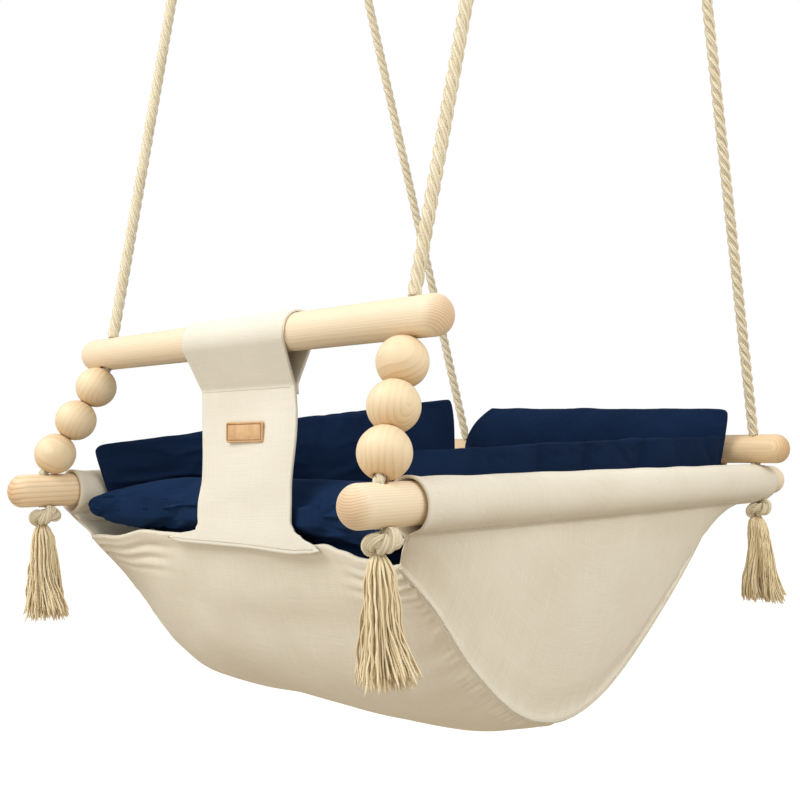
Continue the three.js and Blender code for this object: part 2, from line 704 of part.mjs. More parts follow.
{
  const rise = canvasThickness / 2 + padRestGap + seatPadThickness / 2;
  const restingPoint = (back) => {
    const along = middleLine.getTangent(back);
    return middleLine.getPoint(back).addScaledVector(vector(0, -along.z, along.y), rise);
  };
  const front = vector(0, seatPadMiddleFront, seatPadFrontHeight);
  const padMiddle = new THREE.CatmullRomCurve3([
    front,
    front.clone().add(vector(0, padBrowLength, padBrowRise)),
    front.clone().add(vector(0, padTurnLength, -padTurnDrop)),
    ...padRestShares.map(restingPoint),
  ]);
  const padLength = seatPadBack - seatPadFront;
  const eased = (share) => (1 - Math.cos(Math.PI * share)) / 2;
  const rolled = (distance) => Math.sqrt(1 - Math.max(0, 1 - distance / padEdgeRoll) ** 2);
  const padReach = (y) => {
    const tuck = Math.min(1, (y - seatPadFront) / padCornerLength);
    return halfWidth(y) - sleeveOuter - touchGap - lerp(padCornerInset, padSideInset, tuck);
  };
  const sidePower = 4.5;
  const middle = (a, b) => {
    const along = eased(a);
    const share = 2 * eased(b) - 1;
    const y = lerp(seatPadFront, seatPadBack, along);
    const edge = vector(0, y, padSideHeight);
    return padMiddle
      .getPoint(along)
      .lerp(edge, Math.abs(share) ** sidePower)
      .setX(share * padReach(y));
  };
  const crown = (a, b) => {
    const along = eased(a) * padLength;
    const ends = rolled(Math.min(along, padLength - along));
    const edges = rolled(2 * Math.min(eased(b), 1 - eased(b)) * sideHalfSpacing);
    return lerp(padEdgeThickness, seatPadThickness, ends * edges);
  };
  addPiece('seat_cushion', sewnForm(middle, crown, seatPadSteps, seatPadCrossSteps), materials.cushion);
}

// The origin is midway between the four hanging loops, level with the top of their insides
const crownSum = loopCrowns.reduce((sum, crown) => sum.add(crown), vector(0, 0, 0));
const hangPoint = crownSum.divideScalar(loopCrowns.length);
swing.position.copy(hangPoint).negate();

export default swing;
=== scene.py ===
"""Looks of the hanging baby swing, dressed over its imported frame. Metres and radians, +Z up.

Shapes are made in the seat's own frame: y is 0 at the side dowels' front tips and z is 0 on their axes.
"""

import math

import bmesh
import bpy
import numpy as np
from mathutils import Matrix, Vector
from mathutils.bvhtree import BVHTree
from mathutils.kdtree import KDTree


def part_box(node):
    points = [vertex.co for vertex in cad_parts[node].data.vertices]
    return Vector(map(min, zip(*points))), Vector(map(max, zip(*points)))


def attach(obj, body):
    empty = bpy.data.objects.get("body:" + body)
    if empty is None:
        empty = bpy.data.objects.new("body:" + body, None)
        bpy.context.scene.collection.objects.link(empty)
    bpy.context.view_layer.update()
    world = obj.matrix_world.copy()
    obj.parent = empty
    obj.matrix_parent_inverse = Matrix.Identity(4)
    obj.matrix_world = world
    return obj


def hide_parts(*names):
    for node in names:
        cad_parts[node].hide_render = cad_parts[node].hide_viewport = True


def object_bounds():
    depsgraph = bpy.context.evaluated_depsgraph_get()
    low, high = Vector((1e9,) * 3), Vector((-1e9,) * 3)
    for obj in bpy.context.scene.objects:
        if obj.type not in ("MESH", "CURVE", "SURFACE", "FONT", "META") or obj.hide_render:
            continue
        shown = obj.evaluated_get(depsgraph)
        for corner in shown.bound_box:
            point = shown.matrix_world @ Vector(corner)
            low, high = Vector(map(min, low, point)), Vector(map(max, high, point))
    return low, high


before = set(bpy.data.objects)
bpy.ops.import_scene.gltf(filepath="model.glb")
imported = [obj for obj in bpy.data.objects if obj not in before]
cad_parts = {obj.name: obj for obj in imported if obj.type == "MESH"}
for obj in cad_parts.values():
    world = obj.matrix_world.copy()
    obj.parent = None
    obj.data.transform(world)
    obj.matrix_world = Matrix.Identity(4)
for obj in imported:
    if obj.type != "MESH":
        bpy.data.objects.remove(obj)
cad_box = [list(corner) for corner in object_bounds()]

# Sizes that the frame gives


def middle(node):
    return sum(np.array(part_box(node))) / 2


def extent(node):
    low, high = np.array(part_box(node))
    return high - low


SIDES = (("left", -1), ("right", 1))
DOWEL_RADIUS = extent("side_dowel_right")[2] / 2
BAR_LENGTH = extent("front_bar")[0]
BAR_Y = 0.082
SEAT = np.array([0.0, middle("front_bar")[1] - BAR_Y, middle("side_dowel_right")[2]])
BAR_HEIGHT = middle("front_bar")[2] - SEAT[2]
REAR_DOWEL_HEIGHT = middle("rear_dowel")[2] - SEAT[2]
REAR_Y = middle("rear_dowel")[1] - SEAT[1]
WORLD = np.zeros(3)
UP = np.array([0, 0, 1.0])
FORWARD = np.array([0, -1.0, 0])
TURN = 2 * math.pi

# Wood
SIDE_DOWEL_LENGTH = 0.620
DOME_LENGTH = 0.012
HOLE_RADIUS = 0.0057
FRONT_HOLE_Y = 0.030
REAR_HOLE_INSET = 0.046
SIDE_HALF_SPACING = 0.205
BAR_HALF_SPACING = 0.183
BAR_HOLE_TILT = math.radians(12)
BEAD_RADIUS = 0.0175
BEAD_BORE_RADIUS = 0.0045
BEAD_BORE_EASING = 0.0006
BEAD_COUNT = 3

# Rope
ROPE_RADIUS = 0.005
SQUEEZED_RADIUS = 0.004
ROPE_LAY = 0.032
ROPE_STEP = 0.0012
STRANDS = 3
STRAND_SIDES = 14
CLEARANCE = 0.0003
HOOK = np.array([0.228, 0.286, 1.063])
LOOP_KNOT_HEIGHT = 0.640
LOOP_KNOT_RADIUS = 0.012
LOOP_KNOT_CORD = 0.0042
LOOP_LENGTH = 0.058
LOOP_WIDTH = 0.032
KNOT_RADIUS = 0.014
KNOT_HEIGHT = 0.015
KNOT_CORD = 0.0049
KNOT_TILT = math.radians(-20)
KNOT_TURN = 0.5
KNOT_SLIP = 0.003
TASSEL_LENGTH = 0.084
TASSEL_YARNS = 270
TASSEL_STEPS = 24
TASSEL_LEAN = 0.004
YARN_RADIUS = 0.00066
YARN_TIP_RADIUS = 0.0002
GOLDEN_ANGLE = 2.399963
# How far down the tassel, and its radius there
TASSEL_REACH = [(0.0, 0.0045), (0.04, 0.0075), (0.12, 0.0105), (0.35, 0.0130), (1.0, 0.0195)]

# Canvas
CANVAS = 0.0018
SLEEVE_RADIUS = 0.0166
SLEEVE_DROP = 0.0012
SLEEVE_OUTER = 0.0179
SLEEVE_TIP = 0.0205
SLEEVE_FRONT = 0.056
SLEEVE_BACK = 0.588
SIDE_PANEL_BACK = 0.528
SIDE_PANEL_SHARE = 22 / 24
SEAT_FRONT = 0.068
SEAT_DEPTH = 0.186
HEM_WIDTH = 0.014
HEM_GAP = 0.0024
REAR_SLEEVE_HALF_LENGTH = 0.148
BOWL_POWER = 6.0

# Crotch strap and leather tag
STRAP_WIDTH = 0.114
STRAP_BAR_WIDTH = 0.124
STRAP_SHIFT = 0.005
STRAP_BAR_SHIFT = 0.006
STRAP_LEAN = 0.004
STRAP_BACK = 0.006
STRAP_STITCH_DROP = 0.038
STRAP_THICKNESS = 0.0022
STRAP_FLARE_TOP = -0.019
TAG_WIDTH = 0.045
TAG_HEIGHT = 0.016
TAG_THICKNESS = 0.0016
TAG_CORNER = 0.002
TAG_DROP = 0.072

# How the side dowels spread
HOLE_SPAN = SIDE_DOWEL_LENGTH - FRONT_HOLE_Y - REAR_HOLE_INSET
SPREAD = math.asin((SIDE_HALF_SPACING - BAR_HALF_SPACING) / HOLE_SPAN)


def half_width(y):
    """Half the distance between the side dowels' axes."""
    return SIDE_HALF_SPACING - (y - FRONT_HOLE_Y) * math.tan(SPREAD)


# Vectors and curves


def unit(vectors):
    return vectors / np.linalg.norm(vectors, axis=-1, keepdims=True)


def joined(*values):
    """Numbers or arrays side by side, as the coordinates of points."""
    return np.stack(np.broadcast_arrays(*values), axis=-1)


def mirrored(points, sign):
    return np.asarray(points) * np.array([sign, 1, 1])


def ramp(value, low, high):
    """A smooth step from 0 at low to 1 at high."""
    share = np.clip((value - low) / (high - low), 0.0, 1.0)
    return share * share * (3 - 2 * share)


def between(first, last, share):
    return first + (last - first) * share


def evenly(first, last, count):
    """Places an even step apart from first to last, which may be points or whole rows of them."""
    return between(first, last, np.linspace(0, 1, count).reshape(-1, *[1] * np.ndim(first)))


def eased(value, table):
    """A smooth curve through a table of places and values."""
    total = np.full(np.shape(value), float(table[0][1]))
    for (low, first), (high, last) in zip(table, table[1:]):
        total = total + (last - first) * ramp(value, low, high)
    return total


def spline(points, shares):
    """Places on the centripetal Catmull-Rom curve through points, at shares from 0 to 1 of its spans."""
    points = np.asarray(points, float)
    ends = np.vstack([2 * points[0] - points[1], points, 2 * points[-1] - points[-2]])
    place = np.clip(shares, 0, 1) * (len(points) - 1)
    span = np.minimum(place.astype(int), len(points) - 2)
    weight = (place - span)[:, None]
    before, start, end, after = (ends[span + k] for k in range(4))
    first, second, third = (
        np.sqrt(np.linalg.norm(q - p, axis=1, keepdims=True))
        for p, q in ((before, start), (start, end), (end, after))
    )
    leave = ((start - before) / first - (end - before) / (first + second) + (end - start) / second) * second
    arrive = ((end - start) / second - (after - start) / (second + third) + (after - end) / third) * second
    square = 3 * (end - start) - 2 * leave - arrive
    cube = 2 * (start - end) + leave + arrive
    return start + weight * (leave + weight * (square + weight * cube))


def lengths_along(path):
    steps = np.linalg.norm(np.diff(path, axis=0), axis=1)
    return np.concatenate([[0.0], np.cumsum(steps)])


def at_lengths(lengths, travelled, values):
    """What the values along a path are at some lengths of it."""
    return joined(*(np.interp(lengths, travelled, column) for column in values.T))


def even_path(points):
    """A smooth path through points, with its own points an even step apart."""
    fine = spline(points, np.linspace(0, 1, 40 * len(points)))
    travelled = lengths_along(fine)
    places = np.linspace(0, travelled[-1], max(3, round(travelled[-1] / ROPE_STEP) + 1))
    return at_lengths(places, travelled, fine)


def frames(path):
    """Normal and binormal along a path, turned as little as possible."""
    tangent = unit(np.gradient(path, axis=0))
    guide = np.array([0.0, 1.0, 0.0]) if abs(tangent[0][1]) < 0.9 else np.array([1.0, 0.0, 0.0])
    normal = np.empty_like(path)
    side = np.cross(tangent[0], guide)
    for k, along in enumerate(tangent):
        side = unit(side - along * side.dot(along))
        normal[k] = side
    return normal, np.cross(tangent, normal)


def ripple(points, scale, seed):
    """Smooth noise from -1 to 1 or so: plane waves of about one scale, in many directions."""
    waves = 14
    source = np.random.default_rng(seed)
    total = np.zeros(points.shape[:-1])
    for _ in range(waves):
        direction = unit(source.normal(size=points.shape[-1]))
        pitch = scale * source.uniform(0.7, 1.5)
        total += np.sin(TURN * (points @ direction) / pitch + source.uniform(0, TURN))
    return total * math.sqrt(2 / waves) * 0.6


# Meshes


class Form:
    """Points, faces and places on the cloth or wood, which become one mesh. Its parts are added in turn."""

    def __init__(self):
        self.points = []
        self.faces = []
        self.places = []
        self.count = 0

    def grid(self, points, places=None, wrap=False, keep=None, ends=False):
        """A grid of points. wrap closes its rows, keep picks its squares, ends caps it."""
        rows, columns = points.shape[:2]
        index = self.count + np.arange(rows * columns).reshape(rows, columns)
        self.points.append(points.reshape(-1, 3))
        self.count += rows * columns
        first, last = index[0].tolist(), index[-1].tolist()
        if wrap:
            index = np.hstack([index, index[:, :1]])
        if places is None:
            places = joined(np.arange(index.shape[1]), np.arange(rows)[:, None]) * 0.001
        start, end = slice(None, -1), slice(1, None)
        corners = (start, start), (end, start), (end, end), (start, end)
        squares = np.stack([index[corner] for corner in corners], axis=-1)
        spots = np.stack([places[corner] for corner in corners], axis=-2)
        if keep is not None:
            squares, spots = squares[keep], spots[keep]
        self.faces += squares.reshape(-1, 4).tolist()
        self.places.append(spots.reshape(-1, 2))
        if ends:
            self.faces += [first[::-1], last]
            self.places.append(np.zeros((len(first) + len(last), 2)))
        return self

    def tube(self, path, radius, sides):
        """A round tube along a path, capped at its ends."""
        normal, binormal = frames(path)
        angle = np.linspace(0, TURN, sides, endpoint=False)[:, None]
        ring = np.cos(angle) * normal[:, None] + np.sin(angle) * binormal[:, None]
        radius = np.broadcast_to(radius, len(path))[:, None, None]
        places = joined(np.linspace(0, 1, sides + 1), lengths_along(path)[:, None])
        self.grid(path[:, None] + radius * ring, places, wrap=True, ends=True)

    def piece(self, name, material, at=SEAT):
        mesh = bpy.data.meshes.new(name)
        mesh.from_pydata((np.vstack(self.points) + at).tolist(), [], self.faces)
        layer = mesh.uv_layers.new(name="places")
        layer.data.foreach_set("uv", np.vstack(self.places).astype(np.float32).ravel())
        work = bmesh.new()
        work.from_mesh(mesh)
        bmesh.ops.remove_doubles(work, verts=work.verts, dist=1e-7)
        bmesh.ops.recalc_face_normals(work, faces=work.faces)
        work.to_mesh(mesh)
        work.free()
        mesh.shade_smooth()
        mesh.materials.append(material)
        return placed(name, mesh)


def placed(name, data):
    """A new object in the scene."""
    thing = bpy.data.objects.new(name, data)
    bpy.context.collection.objects.link(thing)
    return thing


def dress(piece, body, node=None):
    """Lets a piece ride on a body and in the place of a node."""
    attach(piece, body)
    if node:
        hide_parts(node)
    return piece


def bake(piece):
    """Turns what a piece's modifiers make into its mesh."""
    shown = piece.evaluated_get(bpy.context.evaluated_depsgraph_get())
    mesh = bpy.data.meshes.new_from_object(shown)
    piece.modifiers.clear()
    piece.data = mesh


def cloth_piece(name, node, material, thickness, points, keep=None):
    """A piece of cloth from the grid of its middle."""
    piece = Form().grid(points, cloth_places(points), keep=keep).piece(name, material)
    solid = piece.modifiers.new("cloth thickness", "SOLIDIFY")
    solid.thickness, solid.offset = thickness, 0
    bake(piece)
    return dress(piece, "seat", node)


# Materials


def colour(red, green, blue):
    """A screen colour of 0 to 255 as linear light."""
    shares = [value / 255 for value in (red, green, blue)]
    return (*[s / 12.92 if s <= 0.04045 else ((s + 0.055) / 1.055) ** 2.4 for s in shares], 1.0)


class Surface:
    """A node material, built up from small steps."""

    def __init__(self, name, **settings):
        self.material = bpy.data.materials.new(name)
        self.material.use_nodes = True
        self.tree = self.material.node_tree
        self.shader = self.tree.nodes["Principled BSDF"]
        for socket, value in settings.items():
            self.shader.inputs[socket.replace("_", " ")].default_value = value
        self.coordinates = self.tree.nodes.new("ShaderNodeTexCoord")
        self.object_place = self.coordinates.outputs["Object"]
        self.normal = None

    def node(self, kind, inputs, output=0, **settings):
        node = self.tree.nodes.new(kind)
        for key, value in settings.items():
            setattr(node, key, value)
        for socket, value in inputs.items():
            if isinstance(value, bpy.types.NodeSocket):
                self.tree.links.new(value, node.inputs[socket])
            else:
                node.inputs[socket].default_value = value
        return node.outputs[output]

    def sum(self, operation, *values):
        return self.node("ShaderNodeMath", dict(enumerate(values)), operation=operation)

    def part(self, source, axis):
        """One axis of a set of coordinates."""
        return self.node("ShaderNodeSeparateXYZ", {0: self.coordinates.outputs[source]}, axis)

    def stretched(self, source, scale, place=(0, 0, 0)):
        inputs = {"Vector": self.coordinates.outputs[source], "Scale": scale, "Location": place}
        return self.node("ShaderNodeMapping", inputs)

    def noise(self, vector, scale, detail=3.0, roughness=0.5):
        inputs = {"Vector": vector, "Scale": scale, "Detail": detail, "Roughness": roughness}
        return self.node("ShaderNodeTexNoise", inputs)

    def stops(self, factor, *stops):
        """Colours that follow a factor: pairs of a place and a colour."""
        ramp_node = self.tree.nodes.new("ShaderNodeValToRGB")
        for element, (place, tint) in zip(ramp_node.color_ramp.elements, stops):
            element.position, element.color = place, tint
        self.tree.links.new(factor, ramp_node.inputs[0])
        return ramp_node.outputs[0]

    def blend(self, factor, first, second):
        inputs = {0: factor, 6: first, 7: second}
        return self.node("ShaderNodeMix", inputs, 2, data_type="RGBA")

    def bump(self, height, distance, strength=1.0):
        inputs = {"Height": height, "Distance": distance, "Strength": strength}
        if self.normal is not None:
            inputs["Normal"] = self.normal
        self.normal = self.node("ShaderNodeBump", inputs)

    def finish(self, base, roughness=None):
        for socket, value in (("Base Color", base), ("Roughness", roughness), ("Normal", self.normal)):
            if value is not None:
                self.tree.links.new(value, self.shader.inputs[socket])
        return self.material


def wood_material(name, pale, dark, ring_pitch, pith, contrast):
    """Pine with growth rings round a pith beside the piece. The grain runs along the piece's own z."""
    wood = Surface(name, Roughness=0.5, Specular_IOR_Level=0.35)
    dark = colour(*dark)
    wander = wood.noise(wood.stretched("Object", (40, 40, 3)), 1.0, 2.0)
    place = wood.stretched("Object", (1, 1, 0), (*pith, 0))
    reach = wood.node("ShaderNodeVectorMath", {0: place}, 1, operation="LENGTH")
    rings = wood.sum("MULTIPLY_ADD", reach, 1 / ring_pitch, wood.sum("MULTIPLY", wander, 2.2))
    late = wood.sum("POWER", wood.sum("FRACT", rings), 2.5)
    end_grain = wood.sum("POWER", wood.sum("ABSOLUTE", wood.part("Normal", 2)), 1.6)
    depth = wood.sum("MULTIPLY_ADD", end_grain, 0.5, contrast)
    fibres = wood.noise(wood.stretched("Object", (900, 900, 22)), 1.0, 4.0, 0.6)
    patches = wood.noise(wood.stretched("Object", (25, 25, 6)), 1.0, 2.0)
    base = wood.stops(wood.sum("MULTIPLY", late, depth), (0.0, colour(*pale)), (1.0, dark))
    for shade, share in ((patches, 0.2), (fibres, 0.12), (end_grain, 0.42)):
        base = wood.blend(wood.sum("MULTIPLY", shade, share), base, dark)
    wood.bump(fibres, 0.0001, 0.5)
    wood.bump(late, 0.00008, 0.4)
    return wood.finish(base, wood.sum("MULTIPLY_ADD", fibres, 0.25, 0.38))


def rope_material(name, pale, shade, yarns=6.0, slope=260.0, relief=1.0):
    """Cotton yarns that run round and along each strand, with loose fibres. The colour darkens in the grooves
    between the yarns as painted shade, with random patches of real tone.
    """
    rope = Surface(name, Roughness=0.95, Sheen_Weight=0.35, Sheen_Roughness=0.6, Specular_IOR_Level=0.15)
    around, along = rope.part("UV", 0), rope.part("UV", 1)
    fuzz = rope.noise(rope.stretched("Object", (1, 1, 1)), 900.0, 4.0, 0.7)
    turn = rope.sum("MULTIPLY_ADD", around, TURN * yarns, rope.sum("MULTIPLY", along, slope))
    wave = rope.sum("SINE", rope.sum("ADD", turn, rope.sum("MULTIPLY", fuzz, 1.5)))
    yarn = rope.sum("MULTIPLY_ADD", wave, 0.5, 0.5)
    patches = rope.noise(rope.stretched("Object", (1, 1, 1)), 60.0, 3.0)
    # Painted shade: the colour is darker where the yarn relief is low, in the grooves between yarns
    tone = rope.sum("MULTIPLY_ADD", yarn, 0.45, rope.sum("MULTIPLY", patches, 0.5))
    rope.bump(yarn, 0.0006 * relief, 0.8)
    rope.bump(fuzz, 0.0004 * relief, 0.6)
    return rope.finish(rope.stops(tone, (0.15, colour(*shade)), (0.75, colour(*pale))))


def cloth_material(name, pale, shade, pitch, slubs, sheen, height, gloss=0.2):
    """A plain weave of warp and weft, with thick places in the yarn and soft colour patches."""
    cloth = Surface(name, Roughness=0.92, Sheen_Weight=sheen, Sheen_Roughness=0.5, Specular_IOR_Level=gloss)
    warp, weft = (
        cloth.noise(cloth.stretched("UV", (across / pitch, along / pitch, 1)), 1.0, 3.0, 0.65)
        for across, along in ((1, 0.035), (0.035, 1))
    )
    weave = cloth.sum("MULTIPLY", cloth.sum("ADD", warp, weft), 0.5)
    patches = cloth.noise(cloth.object_place, 14.0, 4.0)
    tone = cloth.sum("MULTIPLY_ADD", weave, slubs, cloth.sum("MULTIPLY", patches, 1 - slubs))
    cloth.bump(weave, height)
    return cloth.finish(cloth.stops(tone, (0.3, colour(*shade)), (0.62, colour(*pale))))


# Wood: pale and dark, the rings' pitch, where the pith is, and how much the rings show
PINE = wood_material("pine", (251, 236, 206), (198, 148, 90), 0.0018, (0.031, 0.012), 0.24)
STRIPED_PINE = wood_material("striped pine", (250, 230, 194), (198, 146, 92), 0.0042, (0.033, 0.012), 0.42)
WARM_PINE = wood_material("warm pine", (240, 215, 174), (190, 138, 84), 0.0022, (0.031, 0.012), 0.22)
BEECH = wood_material("bead wood", (245, 226, 190), (204, 162, 108), 0.0042, (0.02, 0.005), 0.12)
# Cotton: pale and painted groove shade, the yarns round a strand, how steeply they run, and how deep they are
COTTON = rope_material("cotton rope", (242, 231, 202), (212, 195, 158))
# With one yarn round and no slope, each tassel yarn is painted with shade along one side
TASSEL_COTTON = rope_material("tassel cotton", (244, 228, 188), (206, 176, 124), 1.0, 0.0, 0.2)
THREAD = rope_material("thread", (240, 233, 215), (216, 206, 180), 2.0, 4000.0)
TAN_THREAD = rope_material("tan thread", (196, 148, 96), (160, 112, 64), 2.0, 4000.0)
# Cloth: pale and shade, the yarns' pitch, how much they show, sheen, relief and gloss
CANVAS_CLOTH = cloth_material("canvas", (235, 227, 208), (219, 209, 187), 0.0011, 0.7, 0.1, 0.00035)
STRAP_CLOTH = cloth_material("strap canvas", (238, 232, 216), (227, 220, 201), 0.0011, 0.7, 0.1, 0.0003)
NAVY = cloth_material("navy cotton", (27, 48, 80), (19, 35, 61), 0.0009, 0.6, 0.01, 0.0002, 0.02)
# The flaps' navy is the pad's navy cotton made darker, as painted shade on the flaps
SHADED_FLAP_NAVY = cloth_material("flap cotton with painted shade", (24, 41, 69), (17, 30, 53), 0.0009, 0.6, 0.01, 0.0002, 0.02)

leather = Surface("tag leather", Roughness=0.55, Specular_IOR_Level=0.4)
grain = leather.node("ShaderNodeTexVoronoi", {"Vector": leather.object_place, "Scale": 900.0})
leather.bump(grain, 0.0002, 0.5)
patches = leather.noise(leather.object_place, 120.0, 4.0)
LEATHER = leather.finish(leather.stops(patches, (0.3, colour(206, 162, 114)), (0.7, colour(230, 190, 142))))

# Camera, at the place and turn that the dowels and beads of the photograph give

CAMERA_AT = SEAT + np.array([0.66680, -0.43270, 0.03444])
CAMERA_YAW, CAMERA_PITCH, CAMERA_ROLL = -0.7643, 0.0442, -0.0073
CAMERA_LENS, CAMERA_SENSOR = 48.726, 36.0


def add_camera():
    camera = bpy.data.cameras.new("camera")
    camera.lens, camera.sensor_width = CAMERA_LENS, CAMERA_SENSOR
    camera.clip_start, camera.clip_end = 0.01, 60
    bpy.context.scene.camera = placed("camera", camera)
    turn = Matrix.Rotation(-CAMERA_YAW, 4, "Z") @ Matrix.Rotation(math.pi / 2 + CAMERA_PITCH, 4, "X")
    roll = Matrix.Rotation(CAMERA_ROLL, 4, "Z")
    bpy.context.scene.camera.matrix_world = Matrix.Translation(Vector(CAMERA_AT)) @ turn @ roll


add_camera()

# Ropes


def strands_along(form, path, radius, lay):
    """Three strands laid round a path, as a twisted rope of that radius. They turn once in each lay."""
    normal, binormal = frames(path)
    strand = 0.52 * radius
    for k in range(STRANDS):
        angle = (-TURN * lengths_along(path) / lay + TURN * k / STRANDS)[:, None]
        side = np.cos(angle) * normal + np.sin(angle) * binormal
        form.tube(path + (radius - strand) * side, strand, STRAND_SIDES)


def rope_piece(name, body, node, *runs):
    """A piece of twisted rope. Each of its runs is a path, a radius and a lay."""
    form = Form()
    for path, radius, lay in runs:
        strands_along(form, path, radius, lay)
    return dress(form.piece(name, COTTON), body, node)


FRONT_HOLES = np.array([SIDE_HALF_SPACING, FRONT_HOLE_Y, 0.0])
REAR_HOLES = np.array([BAR_HALF_SPACING, REAR_Y, 0.0])
BAR_HOLE = np.array([BAR_HALF_SPACING, BAR_Y, BAR_HEIGHT])
REAR_HOLE = np.array([BAR_HALF_SPACING, REAR_Y, REAR_DOWEL_HEIGHT])
BAR_HOLE_RUN = np.array([0.0, math.sin(BAR_HOLE_TILT), math.cos(BAR_HOLE_TILT)])
# The right bead column's rope, between side dowel and bar
COLUMN_FOOT = FRONT_HOLES + UP * DOWEL_RADIUS
COLUMN_HEAD = BAR_HOLE - BAR_HOLE_RUN * DOWEL_RADIUS
COLUMN_RUN = unit(COLUMN_HEAD - COLUMN_FOOT)


def free_rope(end, side, sign, hole):
    """A rope held taut from a dowel up to its hanging loop, just above the view."""
    start = mirrored(hole, sign)
    run = unit(mirrored(HOOK, sign) - start)
    foot = start + run * (DOWEL_RADIUS + CLEARANCE + abs(run[0]) * ROPE_RADIUS)
    knot = start + run * (LOOP_KNOT_HEIGHT - start[2]) / run[2]
    head = knot - run * (LOOP_KNOT_RADIUS + CLEARANCE)
    length = np.linalg.norm(head - foot)
    path = foot + np.linspace(0, length, round(length / ROPE_STEP))[:, None] * run
    name = f"{end}_{side}"
    rope = rope_piece(f"twisted_rope_{name}", f"{end}_ropes", f"rope_{name}", (path, ROPE_RADIUS, ROPE_LAY))
    loop = hanging_loop(name, knot, run)


def hanging_loop(name, knot, run):
    """The rope doubled back into a loop, and the knot wound round its foot."""
    turn = np.array(Vector((0, 1, 0)).rotation_difference(Vector(run)).to_matrix()).T
    half_gap = ROPE_RADIUS + CLEARANCE
    widths = half_gap, half_gap * 1.4, 0.95 * LOOP_WIDTH / 2, LOOP_WIDTH / 2
    arm = [(x, share * LOOP_LENGTH, 0.0) for x, share in zip(widths, (0.0, 0.18, 0.45, 0.72))]
    route = [*mirrored(arm, -1), (0.0, LOOP_LENGTH, 0.0), *arm[::-1]]
    angle = np.linspace(0, 2 * TURN, 160)
    reach = LOOP_KNOT_RADIUS - LOOP_KNOT_CORD
    wide = reach * 0.72 + reach * 0.28 * np.cos(1.5 * angle)
    ball = joined(wide * np.cos(angle), reach * np.sin(1.5 * angle), wide * np.sin(angle))
    rope = even_path(np.array(route) @ turn + knot), ROPE_RADIUS, ROPE_LAY
    winding = ball @ turn + knot, LOOP_KNOT_CORD, 0.024
    return rope_piece(f"loop_{name}", "hanging_loops", f"hanging_loop_{name}", rope, winding)


for side, sign in SIDES:
    free_rope("front", side, sign, BAR_HOLE)
    free_rope("rear", side, sign, REAR_HOLE)


def inner_ropes(side, sign):
    """The rope that runs through dowel, beads and bar, and the one through both dowels at the rear."""
    foot, head, run = COLUMN_FOOT, COLUMN_HEAD, COLUMN_RUN
    bend = DOWEL_RADIUS / 4
    route = [foot - UP * drop for drop in (2 * DOWEL_RADIUS, DOWEL_RADIUS, bend, 0)] + [foot + run * bend]
    route += [between(foot, head, share) for share in np.linspace(0, 1, BEAD_COUNT + 2)[1:-1]]
    rises = 0, bend, DOWEL_RADIUS, 2 * (DOWEL_RADIUS - CLEARANCE)
    route += [head - run * bend, *(head + BAR_HOLE_RUN * rise for rise in rises)]
    column = even_path(mirrored(route, sign)), SQUEEZED_RADIUS, ROPE_LAY
    rope_piece(f"rope_in_beads_{side}", "seat", f"column_rope_{side}", column)
    foot = REAR_HOLES - UP * (SLEEVE_DROP + SLEEVE_OUTER)
    head = REAR_HOLE + UP * (DOWEL_RADIUS - 2 * CLEARANCE)
    core = even_path(mirrored([foot, (foot + head) / 2, head], sign)), ROPE_RADIUS, ROPE_LAY
    rope_piece(f"rope_in_rear_dowel_{side}", "seat", f"rear_rope_core_{side}", core)


# The knots and tassels lean a little toward the view
VIEW_TURN = math.radians(44)
TOWARD_VIEW = np.array([math.cos(VIEW_TURN), math.sin(VIEW_TURN)])


def stopper_knot(name, centre):
    """An overhand knot drawn tight: a trefoil of rope, flattened, with one lobe lower than the other."""
    angle = np.linspace(0, TURN, 220)
    reach = (KNOT_RADIUS + 0.0006 - KNOT_CORD) / 3
    path = joined(
        reach * (np.sin(angle) + 2 * np.sin(2 * angle)),
        reach * (np.cos(angle) - 2 * np.cos(2 * angle)),
        (KNOT_HEIGHT / 2 - KNOT_CORD) * -np.sin(3 * angle) * 1.1,
    )
    lean = Matrix.Rotation(KNOT_TILT, 3, "Y") @ Matrix.Rotation(KNOT_TURN, 3, "Z")
    lean = np.array(Matrix.Rotation(VIEW_TURN, 3, "Z") @ lean).T
    path = path @ lean + centre + KNOT_SLIP * np.append(TOWARD_VIEW, 0)
    rope_piece(f"rope_knot_{name}", "seat", f"knot_{name}", (path, KNOT_CORD, 0.026))


